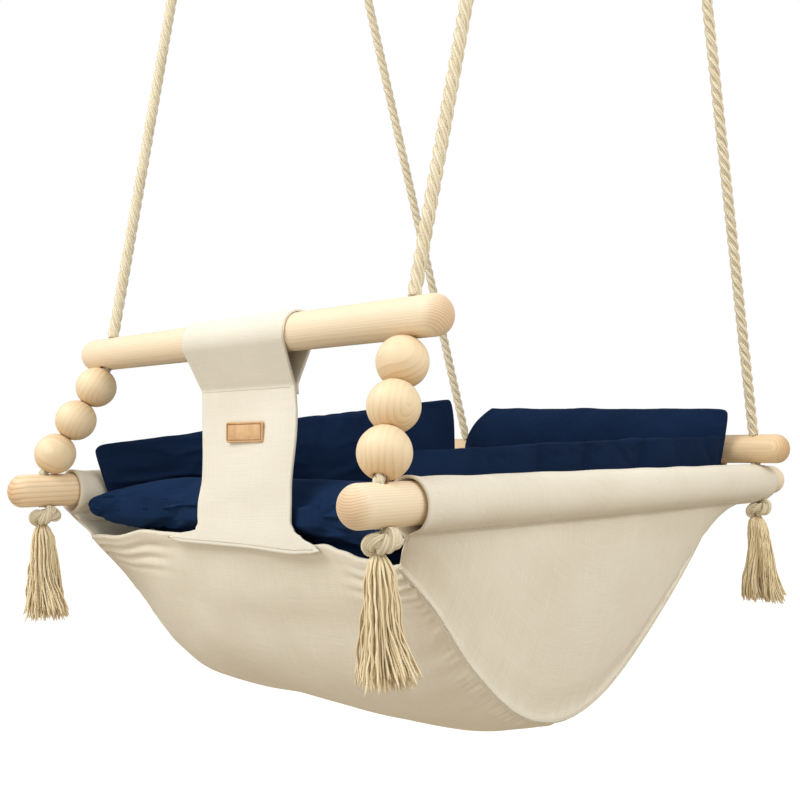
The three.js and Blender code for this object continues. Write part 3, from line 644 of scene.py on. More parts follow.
def tassel(name, top, groups, seed):
    """The rope's combed end: fine yarns in a few soft bunches, which drape from the knot and flare."""
    source = np.random.default_rng(seed)
    form = Form()
    down = np.linspace(0, 1, TASSEL_STEPS)
    fall = down[:, None]
    reach = np.interp(down, *zip(*TASSEL_REACH))[:, None]
    bunches = []
    for k in range(groups):
        heading = TURN * k / groups + source.uniform(-0.3, 0.3)
        aside = joined(math.cos(heading), math.sin(heading)) * between(0.30, source.uniform(0.46, 0.6), fall)
        phases = source.uniform(0, 6.28, 2)
        wave = 0.11 * joined(np.sin(7 * down + phases[0]), np.sin(6 * down + phases[1]))
        swirl, drop = source.uniform(-1.3, 1.3), source.uniform(0.92, 1.0)
        bunches.append((aside + wave * fall**0.5, swirl, drop))
    for k in range(TASSEL_YARNS):
        spine, swirl, drop = bunches[k % groups]
        radius = math.sqrt((k + 0.5) / TASSEL_YARNS)
        turned = k * GOLDEN_ANGLE + swirl * down + source.uniform(-0.15, 0.15) * down
        gather = 0.64 - 0.12 * down - 0.12 * np.sin(math.pi * down) + source.normal() * 0.03 * down
        around = joined(np.cos(turned), np.sin(turned)) * (radius * gather)[:, None]
        curl = source.uniform(0.0002, 0.0007)
        curl = curl * np.sin(fall * source.uniform(12, 34) + source.uniform(0, 6.28))
        stray = source.normal(size=2) * 0.0014 * fall**3
        across = (spine + around) * reach + curl * source.normal(size=2) + stray
        across = across + TASSEL_LEAN * TOWARD_VIEW * fall
        length = TASSEL_LENGTH * drop * source.uniform(0.88, 1.0)
        path = np.column_stack([across, -down * length + 0.0030 * (1 - radius) * (1 - down)])
        form.tube(path + top, np.where(down < 1, YARN_RADIUS, YARN_TIP_RADIUS), 5)
    dress(form.piece(f"yarns_{name}", TASSEL_COTTON), f"tassel_{name}", f"tassel_{name}")


for side, sign in SIDES:
    inner_ropes(side, sign)
    for end, hole, under, groups in (
        ("front", FRONT_HOLES, DOWEL_RADIUS, 5),
        ("rear", REAR_HOLES, SLEEVE_DROP + SLEEVE_OUTER, 2),
    ):
        centre = mirrored(hole, sign) - UP * (under + CLEARANCE + KNOT_HEIGHT / 2)
        stopper_knot(f"{end}_{side}", centre)
        tassel(f"{end}_{side}", centre - UP * (KNOT_HEIGHT / 2 + CLEARANCE + 0.001), groups, 11 + groups)


# Wood


def lathe_form(profile, segments, closed=False):
    """A form turned round its own z. The profile gives radii and heights."""
    angle = np.linspace(0, TURN, segments, endpoint=False)
    radius, height = np.asarray(profile).T[..., None]
    points = joined(radius * np.cos(angle), radius * np.sin(angle), height)
    if closed:
        points = np.concatenate([points, points[:1]])
    return Form().grid(points, wrap=True, ends=not closed)


def aimed(piece, direction, place, turn=0.0):
    """Turns a piece made along its own z to run along a direction, and moves it there."""
    lean = Vector((0, 0, 1)).rotation_difference(Vector(direction)).to_matrix().to_4x4()
    piece.matrix_world = Matrix.Translation(Vector(place)) @ lean @ Matrix.Rotation(turn, 4, "Z")


def dowel(node, material, length, direction, centre, holes, turn):
    """A turned dowel with domed ends and two rope holes, eased where they open."""
    curve = np.linspace(0.03, math.pi / 2, 14)
    dome = joined(DOWEL_RADIUS * np.sin(curve), DOME_LENGTH * (1 - np.cos(curve)) - length / 2)
    profile = np.vstack([dome, dome[::-1] * np.array([1, -1])])
    piece = lathe_form(profile, 96).piece(f"turned_{node}", material, at=WORLD)
    aimed(piece, direction, centre + SEAT, turn)
    mouth = HOLE_RADIUS * 1.25
    bore = [(mouth, -0.017), (HOLE_RADIUS, -0.0125), (HOLE_RADIUS, 0.0125), (mouth, 0.017)]
    for place, run in holes:
        drill = lathe_form(bore, 40).piece("drill", PINE, at=WORLD)
        aimed(drill, run, place + SEAT)
        cut = piece.modifiers.new("hole", "BOOLEAN")
        cut.operation, cut.object, cut.solver = "DIFFERENCE", drill, "EXACT"
        bpy.context.view_layer.update()
        bake(piece)
        bpy.data.objects.remove(drill)
    piece.data.shade_smooth()
    piece.data.set_sharp_from_angle(angle=math.radians(35))
    dress(piece, "seat", node)


def add_dowels():
    for side, sign in SIDES:
        front, back = mirrored(FRONT_HOLES, sign), mirrored(REAR_HOLES, sign)
        run = unit(back - front)
        centre = front + run * (SIDE_DOWEL_LENGTH / 2 - FRONT_HOLE_Y)
        wood = STRIPED_PINE if side == "left" else PINE
        dowel(f"side_dowel_{side}", wood, SIDE_DOWEL_LENGTH, run, centre, [(front, UP), (back, UP)], 1.2)
    for node, wood, hole, run, turn in (
        ("front_bar", PINE, BAR_HOLE, BAR_HOLE_RUN, 2.2),
        ("rear_dowel", WARM_PINE, REAR_HOLE, UP, 1.0),
    ):
        holes = [(mirrored(hole, sign), run) for _, sign in SIDES]
        dowel(node, wood, BAR_LENGTH, np.array([1.0, 0, 0]), hole * np.array([0, 1, 1]), holes, turn)


def add_beads():
    rim = math.asin((BEAD_BORE_RADIUS + BEAD_BORE_EASING) / BEAD_RADIUS)
    angle = np.linspace(rim, math.pi - rim, 30)
    bore_end = BEAD_RADIUS * math.cos(rim) - BEAD_BORE_EASING
    ball = joined(BEAD_RADIUS * np.sin(angle), -BEAD_RADIUS * np.cos(angle))
    profile = np.vstack([[BEAD_BORE_RADIUS, -bore_end], ball, [BEAD_BORE_RADIUS, bore_end]])
    for side, sign in SIDES:
        run = mirrored(COLUMN_RUN, sign)
        for k in range(BEAD_COUNT):
            node = f"bead_{side}_{k + 1}"
            bead = lathe_form(profile, 64, closed=True).piece(f"turned_{node}", BEECH, at=WORLD)
            aimed(bead, run, middle(node), 1.9 * k + 0.8 * sign)
            dress(bead, node, node)


add_dowels()
add_beads()

# Canvas

# Width, how far back and down the seam is, how far back and down the middle is
SEAT_STATION_SHARES = [
    (0.909, 0.06, 0.387, 0.071, 0.476),
    (0.905, 0.14, 0.635, 0.131, 0.777),
    (0.896, 0.247, 0.851, 0.233, 0.949),
    (0.874, 0.362, 0.925, 0.36, 1.001),
    (0.839, 0.495, 0.874, 0.518, 0.94),
    (0.825, 0.651, 0.646, 0.676, 0.696),
    (0.81, 0.826, 0.305, 0.834, 0.337),
]
# Across the hem, and how far it rises there
HEM_LIFT = [(-0.185, 0.0), (-0.164, -0.0026), (-0.136, 0.0018), (-0.108, 0.0007), (0.079, 0.0)]
HEM_LIFT += [(0.092, 0.0012), (0.110, -0.002), (0.131, -0.0054), (0.167, -0.005), (0.185, -0.001)]
REAR_SLEEVE_HEIGHT = REAR_DOWEL_HEIGHT - SLEEVE_DROP
REAR_EDGE_HEIGHT = REAR_SLEEVE_HEIGHT - SLEEVE_OUTER + 0.0012
HEM_CORNER = (SIDE_HALF_SPACING - 0.020, SEAT_FRONT, -0.042)
HEM_MIDDLE = (0.0, SEAT_FRONT + 0.020, -0.037)


def station(width, back, drop):
    return width * SIDE_HALF_SPACING, SEAT_FRONT + back * (REAR_Y - SEAT_FRONT), -drop * SEAT_DEPTH


SEAM_LINE = [HEM_CORNER, *(station(*row[:3]) for row in SEAT_STATION_SHARES)]
SEAM_LINE.append((BAR_HALF_SPACING - 0.025, REAR_Y, REAR_EDGE_HEIGHT))
MIDDLE_LINE = [HEM_MIDDLE, *(station(0.0, *row[3:]) for row in SEAT_STATION_SHARES)]
MIDDLE_LINE.append((0.0, REAR_Y, REAR_EDGE_HEIGHT))


def seat_surface(back, across):
    """Points of the seat panel's surface. back runs from hem to rear dowel, across from -1 to 1."""
    seam, centre = spline(SEAM_LINE, back), spline(MIDDLE_LINE, back)
    share = (np.abs(across) ** BOWL_POWER)[None, :, None]
    points = centre[:, None] * (1 - share) + seam[:, None] * share
    points[..., 0] = across[None] * seam[:, None, 0]
    return points


def facing(points):
    """Unit normals of a grid of points."""
    return unit(np.cross(np.gradient(points, axis=0), np.gradient(points, axis=1)))


def cloth_places(points):
    """Places on the flat cloth, in metres, of a grid of points."""
    along = np.cumsum(np.linalg.norm(np.diff(points, axis=0, prepend=points[:1]), axis=2), axis=0)
    across = np.cumsum(np.linalg.norm(np.diff(points, axis=1, prepend=points[:, :1]), axis=2), axis=1)
    return joined(across, along)


def stitches(form, path, lift, pitch=0.0036, radius=0.0004):
    """Stitches along a path, each a short thread that dips at both ends. lift faces away from the cloth."""
    travelled, lift = lengths_along(path), np.broadcast_to(lift, path.shape)
    share = np.linspace(0, 1, 6)
    height = np.sin(math.pi * share) ** 0.5 * radius * 1.3 - radius * 0.5
    for k in range(int(travelled[-1] / pitch)):
        places = (k + 0.12 + 0.76 * share) * pitch
        away = at_lengths(places, travelled, lift)
        form.tube(at_lengths(places, travelled, path) + away * height[:, None], radius, 6)


def add_seat_panel():
    columns = 150
    back = np.linspace(0, 1, 420)
    across = np.sin(np.linspace(-1, 1, columns) * math.pi / 2 * 0.999)
    surface = seat_surface(back, across)
    outward = facing(surface)
    x = surface[..., 0]
    from_seam = (1 - np.abs(across)) * surface[:, -1:, 0]
    from_hem = lengths_along(surface[:, columns // 2])[:, None]
    # Puckers beside the seam, creases further in, the cloth's own sway, and folds at the hem's corners
    by_seam = joined(lengths_along(surface[:, -1])[:, None], from_seam * 0.15)
    band = ramp(from_seam, 0.0, 0.003) * (1 - ramp(from_seam, 0.008, 0.013))
    relief = 0.0005 * band * ripple(by_seam, 0.0048, 3)
    relief += 0.0009 * np.exp(-from_seam / 0.016) * ramp(from_seam, 0.0, 0.006) * ripple(by_seam, 0.02, 4)
    relief += 0.0016 * ripple(surface * np.array([1, 0.6, 1]), 0.16, 5) * ramp(from_seam, 0.0, 0.05)
    relief += 0.0006 * ripple(surface, 0.05, 8) * ramp(from_seam, 0.0, 0.03)
    corner = ramp(np.abs(x), 0.095, 0.150) * (1 - ramp(from_hem, 0.022, 0.045))
    relief += 0.0013 * corner * np.sin(from_hem * TURN / 0.0115 + 14 * x)
    relief *= ramp(back, 0.004, 0.03)[:, None] * ramp(1 - back, 0.0, 0.05)[:, None]
    outside = surface + outward * relief[..., None]
    outside[..., 2] += eased(x, HEM_LIFT) * np.exp(-((from_hem / 0.03) ** 2))

    # The front hem: the cloth turns over and runs a little way down the inside
    down = unit(outside[6] - outside[0])
    inside = outside[0] - outward[0] * HEM_GAP + down * np.linspace(HEM_WIDTH, 0, 8)[:-1, None, None]
    angle = np.linspace(math.pi, 0, 7)[:-1, None, None]
    fold = outside[0] - outward[0] * HEM_GAP * (1 - np.cos(angle)) / 2 - down * np.sin(angle) * HEM_GAP / 2
    # The sleeve round the rear dowel
    angle = np.linspace(-math.pi / 2, math.pi * 1.42, 44)[1:, None]
    rise = REAR_SLEEVE_HEIGHT + SLEEVE_RADIUS * np.sin(angle)
    sleeve = joined(across * REAR_SLEEVE_HALF_LENGTH, REAR_Y + SLEEVE_RADIUS * np.cos(angle), rise)
    points = np.concatenate([inside, fold, outside, sleeve])
    panel = cloth_piece("canvas_seat_panel", "seat_panel", CANVAS_CLOTH, CANVAS, points)


add_seat_panel()


def add_side_panel(side, sign):
    """A gusset that rises from the seam to a sleeve stitched round the side dowel."""
    columns = 220
    y = np.linspace(SLEEVE_FRONT, SLEEVE_BACK, columns)
    share = (y - SLEEVE_FRONT) / (SIDE_PANEL_BACK - SLEEVE_FRONT)
    edge = seat_surface(np.clip(share, 0, 1) * SIDE_PANEL_SHARE, np.array([1 - 1e-3, 1.0]))
    seam = edge[:, 1] + unit(edge[:, 1] - edge[:, 0]) * 0.0008
    axis = joined(half_width(y), y, -SLEEVE_DROP)
    tip = axis + UP * (SLEEVE_DROP - SLEEVE_TIP)
    up = unit(tip - seam)
    foot = seam - up * 0.0015
    gusset = evenly(foot, tip, 46)[:-1]
    corner = math.acos(SLEEVE_RADIUS / (SLEEVE_TIP - SLEEVE_DROP))
    angle = np.linspace(-math.pi / 2 + corner, math.pi * 1.5 - corner, 44)[:, None]
    loop = axis + SLEEVE_RADIUS * joined(np.cos(angle), 0, np.sin(angle))
    straight_up = evenly(tip, loop[0], 5)[:-1]
    meet = tip - np.array([CANVAS, 0, 0])
    straight_down = evenly(loop[-1], meet, 6)[1:]
    allowance = meet - up * np.linspace(0, 0.009, 4)[1:, None, None]
    points = np.concatenate([gusset, straight_up, loop, straight_down, allowance])

    out = facing(points)
    if out[10, columns // 2, 0] < 0:
        out = -out
    gusset_rows = len(gusset)
    low = np.arange(len(points))[:, None] < gusset_rows
    distance = np.linalg.norm(points - foot, axis=2)
    tip_distance = np.linalg.norm(points - tip, axis=2)
    line = joined(lengths_along(foot), distance * 0.35)
    relief = -0.0022 * ramp(distance, 0.0, 0.006) * (1 - ramp(distance, 0.008, 0.030))
    relief += 0.0010 * np.exp(-distance / 0.016) * ramp(distance, 0.0, 0.004) * ripple(line, 0.016, 21 + sign)
    sway = ripple(points * np.array([1, 0.7, 1]), 0.14, 25 + sign)
    relief += 0.0020 * sway * ramp(distance, 0, 0.04) * ramp(tip_distance, 0, 0.03)
    # The sleeve opens a little at its front end, and is drawn in at its back end
    mouth = 0.0017 * (1 - ramp(y, SLEEVE_FRONT, SLEEVE_FRONT + 0.014))
    mouth = mouth - 0.0012 * ramp(y, SLEEVE_BACK - 0.026, SLEEVE_BACK)
    round_sleeve = 0.0003 * ripple(points, 0.05, 31) * ramp(tip_distance, 0, 0.01)
    relief = np.where(low, relief, round_sleeve + mouth * ramp(tip_distance, 0, 0.012))
    points = mirrored(points + out * relief[..., None], sign)

    keep = np.ones((len(points) - 1, columns - 1), bool)
    keep[:gusset_rows, share[1:] > 1.0] = False
    keep[-len(allowance) - 1 :, share[1:] > 1.0] = False
    node = f"side_panel_{side}"
    panel = cloth_piece(f"canvas_{node}", node, CANVAS_CLOTH, CANVAS, points, keep)
    steps = points[1:, :-1] - points[:-1, :-1], points[:-1, 1:] - points[:-1, :-1]
    area = float(np.linalg.norm(np.cross(*steps), axis=2)[keep].sum())

    thread = Form()
    row, lift = gusset_rows + 2, mirrored(out, sign)[gusset_rows + 2, 2:-2]
    stitches(thread, points[row, 2:-2] + lift * CANVAS / 2, lift)
    thread.tube(mirrored(seam[share < 0.985] + np.array([0.0006, 0, 0]), sign), 0.0009, 8)
    dress(thread.piece(f"side_panel_stitches_{side}", THREAD), "seat")


for side, sign in SIDES:
    add_side_panel(side, sign)

# Across the strap's foot, and how high it is sewn to the hem; how far down the foot, and how far it flares
STRAP_FOOT = [(-0.100, -0.037), (-0.078, -0.041), (0.0, -0.041)]
STRAP_FOOT += [(0.062, -0.0425), (0.080, -0.041), (0.096, -0.037)]
STRAP_FLARE_LEFT = [(0.024, 0.0), (0.030, 0.004), (0.034, 0.025), (0.038, 0.044)]
STRAP_FLARE_RIGHT = [(0.020, 0.0), (0.026, 0.003), (0.030, 0.011), (0.036, 0.026), (0.040, 0.032)]


def add_strap():
    """The strap rises from the front hem, goes over the bar and comes back down to its stitching."""
    half = STRAP_THICKNESS / 2
    inner = DOWEL_RADIUS + CLEARANCE + half
    stitch = np.array([STRAP_BACK, -STRAP_STITCH_DROP])
    toward = math.atan2(stitch[1], stitch[0])
    spread = math.acos(inner / np.linalg.norm(stitch))
    arc = np.linspace(toward + spread, toward - spread + TURN, 40)
    wrap = inner * joined(np.cos(arc), np.sin(arc))
    behind, front = stitch + np.array([half, 0]), stitch - np.array([half, 0])
    hem = np.array([HEM_MIDDLE[1] - BAR_Y - 0.0022, STRAP_FLARE_TOP - BAR_HEIGHT])
    foot_rows = 14

    upward = evenly(behind - np.array([0, 0.007]), behind, 5)[:-1], evenly(behind, wrap[0], 14)[:-1]
    downward = evenly(wrap[-1], front, 14)[1:], evenly(front, hem, 60)[1:]
    route = np.concatenate([*upward, wrap, *downward, np.repeat(hem[None], foot_rows, axis=0)])
    below = -route[:, 1:]
    across = np.linspace(-1, 1, 90)
    drop = np.clip(below / STRAP_STITCH_DROP, 0, 1)
    width = between(STRAP_BAR_WIDTH, STRAP_WIDTH, drop)
    shift = STRAP_SHIFT + STRAP_BAR_SHIFT * (1 - drop) - STRAP_LEAN * ramp(below, 0.07, 0.135)
    points = joined(shift + across * width / 2, BAR_Y + route[:, :1], BAR_HEIGHT - below)
    hanging = ramp(below, 0.03, 0.06) * ramp(points[..., 2], STRAP_FLARE_TOP + 0.006, STRAP_FLARE_TOP + 0.030)
    points[..., 1] += hanging * (0.0015 * ripple(points, 0.12, 41) + 0.0012 * np.abs(across) ** 3)
    points[..., 0] -= hanging * across**3 * 0.0012 * np.sin(below * 70)
    # The foot flares along the front hem, where it is sewn down. Three rounds settle its width and height
    fall = np.linspace(0, 1, foot_rows + 1)[1:, None]
    beside = np.abs(across) ** 3
    foot = points[-foot_rows:]
    for _ in range(3):
        foot[..., 2] = between(STRAP_FLARE_TOP, eased(foot[..., 0], STRAP_FOOT), fall)
        flare = [eased(-foot[..., 2], table) for table in (STRAP_FLARE_LEFT, STRAP_FLARE_RIGHT)]
        lean = STRAP_SHIFT - STRAP_LEAN * (1 - beside * fall)
        foot[..., 0] = lean + across * (STRAP_WIDTH / 2 + beside * np.where(across < 0, *flare))
        bend = np.abs(foot[..., 0] / HEM_CORNER[0]) ** BOWL_POWER
        foot[..., 1] = BAR_Y + hem[0] + (HEM_CORNER[1] - HEM_MIDDLE[1]) * bend - 0.0012 * fall
    strap = cloth_piece("canvas_strap", "crotch_strap", STRAP_CLOTH, STRAP_THICKNESS * 0.8, points)

    thread = Form()
    coming_down = len(route) - foot_rows - 59
    row = coming_down + np.argmin(np.abs(STRAP_STITCH_DROP + 0.001 - below[coming_down:]))
    face = points - np.array([0, STRAP_THICKNESS * 0.4, 0])
    for across_row, thick in ((row, 0.0002), (len(route) - 3, 0.0003)):
        stitches(thread, face[across_row, 1:-1], FORWARD, radius=thick)
    dress(thread.piece("strap_stitches", THREAD), "seat")


add_strap()


def add_tag():
    """A small leather tag with a pressed border and stitching, and nothing on it."""
    half = np.array([TAG_WIDTH / 2, TAG_HEIGHT / 2])

    def rim(inset, height):
        reach, bend = half - max(TAG_CORNER, inset), max(TAG_CORNER - inset, 0.0)
        points = []
        for quarter, corner in enumerate(((1, 1), (-1, 1), (-1, -1), (1, -1))):
            angle = np.linspace(quarter, quarter + 1, 6) * math.pi / 2
            points.append(np.array(corner) * reach + bend * joined(np.cos(angle), np.sin(angle)))
        x, z = np.vstack(points).T
        return joined(x, -height, z)

    face = TAG_THICKNESS
    levels = [(0.0004, 0.0), (0.0, 0.0004), (0.0, face - 0.0005), (0.0004, face - 0.0001), (0.0010, face)]
    levels += [(0.0016, face - 0.0003), (0.0021, face - 0.0003), (0.0027, face), (0.0075, face + 0.0001)]
    rings = np.array([rim(*level) for level in levels])
    strap_face = BAR_Y + STRAP_BACK - STRAP_THICKNESS - CLEARANCE
    place = SEAT + np.array([STRAP_SHIFT, strap_face, BAR_HEIGHT - TAG_DROP])
    tag = Form().grid(rings, wrap=True, ends=True).piece("bare_leather_tag", LEATHER, at=place)
    tag.data.set_sharp_from_angle(angle=math.radians(50))
    dress(tag, "seat", "leather_tag")
    thread = Form()
    path = rim(0.0019, face - 0.0001)
    stitches(thread, np.vstack([path, path[:1]]), FORWARD, pitch=0.0019, radius=0.00022)
    dress(thread.piece("tag_stitches", TAN_THREAD, at=place), "seat")


add_tag()

# Padded liner


def solid_tree(pieces):
    """The faces of several pieces, as one tree in which rays can be cast."""
    points, faces = [], []
    for piece in pieces:
        first = len(points)
        points += [piece.matrix_world @ vertex.co for vertex in piece.data.vertices]
        faces += [[first + corner for corner in polygon.vertices] for polygon in piece.data.polygons]
    return BVHTree.FromPolygons(points, faces)


def pillow(part, node, material, shape, squares, swell, cap, fill, walls, sag_of=None):
    """Two panels sewn together at their edges and stuffed.

    The functions of its shape take a and b from 0 to 1 and give its middle and how thick it is.
    """
    centre_of, thickness_of = shape
    a, b = np.meshgrid(*(np.linspace(0, 1, count) for count in squares), indexing="ij")
    centre = centre_of(a, b)
    half = facing(centre) * (thickness_of(a, b) / 2)[..., None]
    places = cloth_places(centre)
    edge = np.concatenate([centre[0], centre[-1], centre[:, 0], centre[:, -1]]) + SEAT
    form = Form().grid(centre + half, places)
    if sag_of:
        centre[..., 2] -= sag_of(a, b)
    form.grid(centre - half, places)
    pad = form.piece(f"liner_{part}", material)
    puff(pad, edge, swell, cap, solid_tree([bpy.data.objects[wall] for wall in walls]))
    dress(pad, "seat", node)


PUFF_FRAMES = 20
PUFF_SETTINGS = dict(
    quality=6,
    mass=0.15,
    tension_stiffness=12,
    compression_stiffness=12,
    shear_stiffness=4,
    bending_stiffness=0.25,
    use_pressure=True,
    uniform_pressure_force=4,
    vertex_group_mass="sewn edge",
)
WALL_GAP = 0.0008


def puff(pad, edge, swell, cap, walls):
    """Blows the pad up as cloth held at its sewn edge. No point goes further than the cap, or into a wall."""

    def points():
        found = np.zeros(len(pad.data.vertices) * 3)
        pad.data.vertices.foreach_get("co", found)
        return found.reshape(-1, 3)

    start = points()
    sewn = KDTree(len(edge))
    for k, point in enumerate(edge):
        sewn.insert(point, k)
    sewn.balance()
    near = np.array([sewn.find(point)[2] < 1e-4 for point in start])
    group = pad.vertex_groups.new(name="sewn edge")
    group.add(np.flatnonzero(near).tolist(), 1.0, "REPLACE")
    cloth = pad.modifiers.new("puff", "CLOTH")
    for key, value in PUFF_SETTINGS.items():
        setattr(cloth.settings, key, value)
    cloth.settings.shrink_min = cloth.settings.shrink_max = -swell
    cloth.settings.effector_weights.gravity = 0
    cloth.collision_settings.use_collision = False
    cloth.point_cache.frame_start, cloth.point_cache.frame_end = 1, PUFF_FRAMES
    for step in range(1, PUFF_FRAMES + 1):
        bpy.context.scene.frame_set(step)
    bake(pad)
    bpy.context.scene.frame_set(1)
    shift = points() - start
    far = np.maximum(np.linalg.norm(shift, axis=1), 1e-9)
    way = shift / far[:, None]
    far = np.minimum(far, cap)
    for k in np.flatnonzero(~near):
        hit = walls.ray_cast(Vector(start[k]), Vector(way[k]), far[k] + WALL_GAP)[3]
        if hit is not None:
            far[k] = max(0.0, hit - WALL_GAP)
    pad.data.vertices.foreach_set("co", (start + way * far[:, None]).ravel())
    pad.vertex_groups.clear()
    smooth = pad.modifiers.new("smooth", "SUBSURF")
    smooth.levels = smooth.render_levels = 1
    bake(pad)
    pad.data.shade_smooth()


FLAP_CROWN = 0.020
FLAP_FOOT = -0.006
# How much a pillow's cloth swells, how far it may go, and how firmly it is filled
FLAP_PUFF = 0.01, 0.004, 0.4
PAD_PUFF = 0.025, 0.007, 0.6
FLAPS = {
    # where foot and top start and end along the side dowel, how high front and back stand, and the creases
    "left": ((0.079, 0.062), (0.523, 0.530), (0.039, 0.093), (0.34,)),
    "right": ((0.086, 0.078), (0.523, 0.542), (0.033, 0.045), (0.33, 0.47, 0.665)),
}


def flap_crown(a, b):
    return FLAP_CROWN * np.sin(math.pi * a) ** 0.4 * np.sin(math.pi * b) ** 0.6


def flap_set_back(a, b):
    """How far a flap's middle stays off what it leans on, measured from the dowel's axis."""
    return SLEEVE_OUTER + CLEARANCE + 0.003 + flap_crown(a, b) / 2


def row_ripple(place, scale, seed):
    """A ripple along one direction only."""
    return ripple(joined(place, 0 * place), scale, seed)


def add_side_flaps():
    for side, sign in SIDES:
        front, back, height, creases = FLAPS[side]

        def centre_of(a, b):
            y = between(between(*front, b), between(*back, b), a)
            z = between(FLAP_FOOT, between(*height, a), b)
            z = z + b**4 * 0.0006 * row_ripple(y, 0.06, 71 + sign)
            z = z - 0.005 * (np.exp(-a / 0.010) + np.exp((a - 1) / 0.010)) * b**9
            y = y + 0.005 * (np.exp(-a / 0.012) - np.exp((a - 1) / 0.012)) * b**9
            x = half_width(y) - flap_set_back(a, b)
            x = x + b**3 * 0.0010 * row_ripple(y, 0.055, 74 + sign) + 0.005 * a * b**2
            return joined(sign * x, y, z)

        def thickness_of(a, b):
            pressed = sum(np.exp(-(((a - place) / 0.008) ** 2)) for place in creases)
            return flap_crown(a, b) * (1 - 0.4 * pressed)

        shape, walls = (centre_of, thickness_of), [f"canvas_side_panel_{side}"]
        part, node = f"flap_{side}", f"cushion_flap_{side}"
        # The flaps wear the darker navy, which is painted shade
        pillow(part, node, SHADED_FLAP_NAVY, shape, (120, 28), *FLAP_PUFF, walls)


def add_back_flap():
    def centre_of(a, b):
        left = (1 - b) ** 2 * -0.156 + 2 * b * (1 - b) * -0.195 + b**2 * -0.129
        x = between(left, between(0.156, 0.170, b), a)
        z = between(between(0.001, 0.081, b), between(0.001, 0.071, b), a)
        z = z + b**4 * 0.0007 * row_ripple(x, 0.06, 77) - 0.005 * np.exp((a - 1) / 0.012) * b**9
        x = x - 0.004 * np.exp((a - 1) / 0.014) * b**9
        return joined(x, REAR_Y - flap_set_back(a, b), z)

    shape, walls = (centre_of, flap_crown), ["canvas_seat_panel"]
    # The back flap wears the darker navy, which is painted shade
    pillow("flap_back", "cushion_flap_back", SHADED_FLAP_NAVY, shape, (90, 28), *FLAP_PUFF, walls)


PAD_REST_SHARES = (0.125, 0.1875, 0.25, 0.375, 0.5, 0.625, 0.75, 0.83, 0.9)
PAD_THICKNESS = 0.044
PAD_LIFT = 0.0027
PAD_FRONT, PAD_BACK = 0.055, 0.512
PAD_MIDDLE_FRONT = [(0.0, 0.093, -0.009), (0.0, 0.113, -0.008), (0.0, 0.130, -0.027)]
PAD_SIDE_HEIGHT = -0.012
PAD_EDGE_ROLL = 0.038


def add_seat_pad():
    shares = np.array(PAD_REST_SHARES)
    nearby = 1e-3
    along = unit(spline(MIDDLE_LINE, shares + nearby) - spline(MIDDLE_LINE, shares - nearby))
    above = joined(0, -along[:, 2], along[:, 1]) * (PAD_LIFT + PAD_THICKNESS / 2)
    middle_points = np.vstack([PAD_MIDDLE_FRONT, spline(MIDDLE_LINE, shares) + above])
    length = PAD_BACK - PAD_FRONT

    def spread_out(share):
        return (1 - np.cos(math.pi * share)) / 2

    def thickness_of(a, b):
        place, across = spread_out(a) * length, spread_out(b)
        ends = np.clip(1 - np.minimum(place, length - place) / PAD_EDGE_ROLL, 0, 1)
        edges = np.clip(1 - 3.4 * np.minimum(across, 1 - across) * SIDE_HALF_SPACING / PAD_EDGE_ROLL, 0, 1)
        near = np.minimum(1, (ends**10 + edges**10) ** 0.1)
        return (PAD_THICKNESS - 0.002) * (1 - near**2.3) ** 0.45

    def centre_of(a, b):
        place, share = spread_out(a), 2 * spread_out(b) - 1
        y = between(PAD_FRONT, PAD_BACK, place)
        tuck = np.minimum(1, (y - PAD_FRONT) / 0.022)
        reach = half_width(y) - SLEEVE_OUTER - CLEARANCE - between(0.002, 0.014, tuck)
        rest = spline(middle_points, place.ravel()).reshape(*a.shape, 3)
        points = between(rest, joined(0, y, PAD_SIDE_HEIGHT), (np.abs(share) ** 4.5)[..., None])
        points[..., 0] = share * reach * (1 - 0.016 * np.exp(-place / 0.012) * share**16)
        # The sewn edge at the front is drawn in, and puckers towards the corners
        gather = 0.0014 * row_ripple(points[..., 0], 0.016, 61)
        drawn = np.exp(-((thickness_of(a, b) / 0.009) ** 2)) * (place < 0.5)
        points[..., 1] += drawn * (0.0045 + gather * share**2) * (1 - 0.8 * share**8)
        return points

    def sag_of(a, b):
        """The front roll hangs lower than it rises."""
        return 0.009 * thickness_of(a, b) / PAD_THICKNESS * (1 - ramp(spread_out(a) * length, 0.03, 0.10))

    walls = ["canvas_seat_panel", "canvas_strap", *(f"canvas_side_panel_{side}" for side, _ in SIDES)]
    walls += [f"liner_flap_{side}" for side in ("left", "right", "back")]
    shape = centre_of, thickness_of
    pillow("seat_pad", "seat_cushion", NAVY, shape, (116, 88), *PAD_PUFF, walls, sag_of)


add_side_flaps()
add_back_flap()
add_seat_pad()

# Floor and light

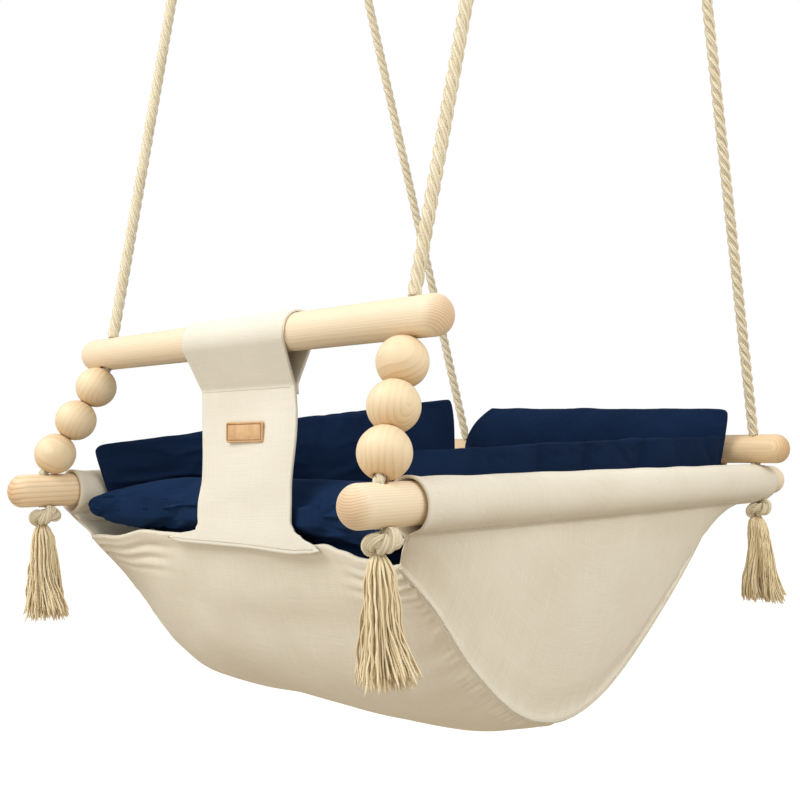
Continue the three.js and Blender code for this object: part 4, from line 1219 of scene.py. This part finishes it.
FLOOR_DROP, FLOOR_REACH, FLOOR_GLOW = 0.55, 9.0, 0.8
STUDIO_LIGHT, STUDIO_SHOWN = 0.62, 1.0


def add_floor():
    reach = np.linspace(-FLOOR_REACH, FLOOR_REACH, 12)
    form = Form().grid(joined(reach[:, None], reach, cad_box[0][2] - FLOOR_DROP))
    pale = Surface("floor paint", Roughness=0.9, Emission_Color=(1, 1, 1, 1))
    seen = pale.tree.nodes.new("ShaderNodeLightPath").outputs["Is Camera Ray"]
    pale.tree.links.new(pale.sum("MULTIPLY", seen, FLOOR_GLOW), pale.shader.inputs["Emission Strength"])
    speckle = pale.noise(pale.object_place, 3.0)
    base = pale.stops(speckle, (0.3, colour(184, 172, 154)), (0.7, colour(190, 178, 160)))
    form.piece("floor", pale.finish(base), at=WORLD)


def add_light(name, place, power):
    lamp = bpy.data.lights.new(name, "AREA")
    lamp.shape, lamp.size, lamp.energy = "DISK", 1.2, power
    aim = Vector(middle("seat_panel"))
    at = aim + Vector(place)
    turn = (at - aim).to_track_quat("Z", "Y").to_matrix().to_4x4()
    placed(name, lamp).matrix_world = Matrix.Translation(at) @ turn


def add_world():
    """A white studio, which lights the swing less than it shows."""
    world = bpy.data.worlds.new("studio")
    world.use_nodes = True
    nodes, links = world.node_tree.nodes, world.node_tree.links
    shown = nodes["Background"]
    shown.inputs["Color"].default_value = (1, 1, 1, 1)
    strength = nodes.new("ShaderNodeMapRange")
    links.new(nodes.new("ShaderNodeLightPath").outputs["Is Camera Ray"], strength.inputs["Value"])
    strength.inputs["To Min"].default_value = STUDIO_LIGHT
    strength.inputs["To Max"].default_value = STUDIO_SHOWN
    links.new(strength.outputs["Result"], shown.inputs["Strength"])
    bpy.context.scene.world = world
    bpy.context.scene.view_settings.view_transform = "Standard"
    bpy.context.scene.view_settings.look = "None"


add_floor()
add_world()
add_light("key", (-0.7, -1.6, 1.6), 28)
add_light("fill", (1.6, -0.3, 1.0), 15.5)
add_light("low front", (-0.3, -1.9, -0.1), 4.5)
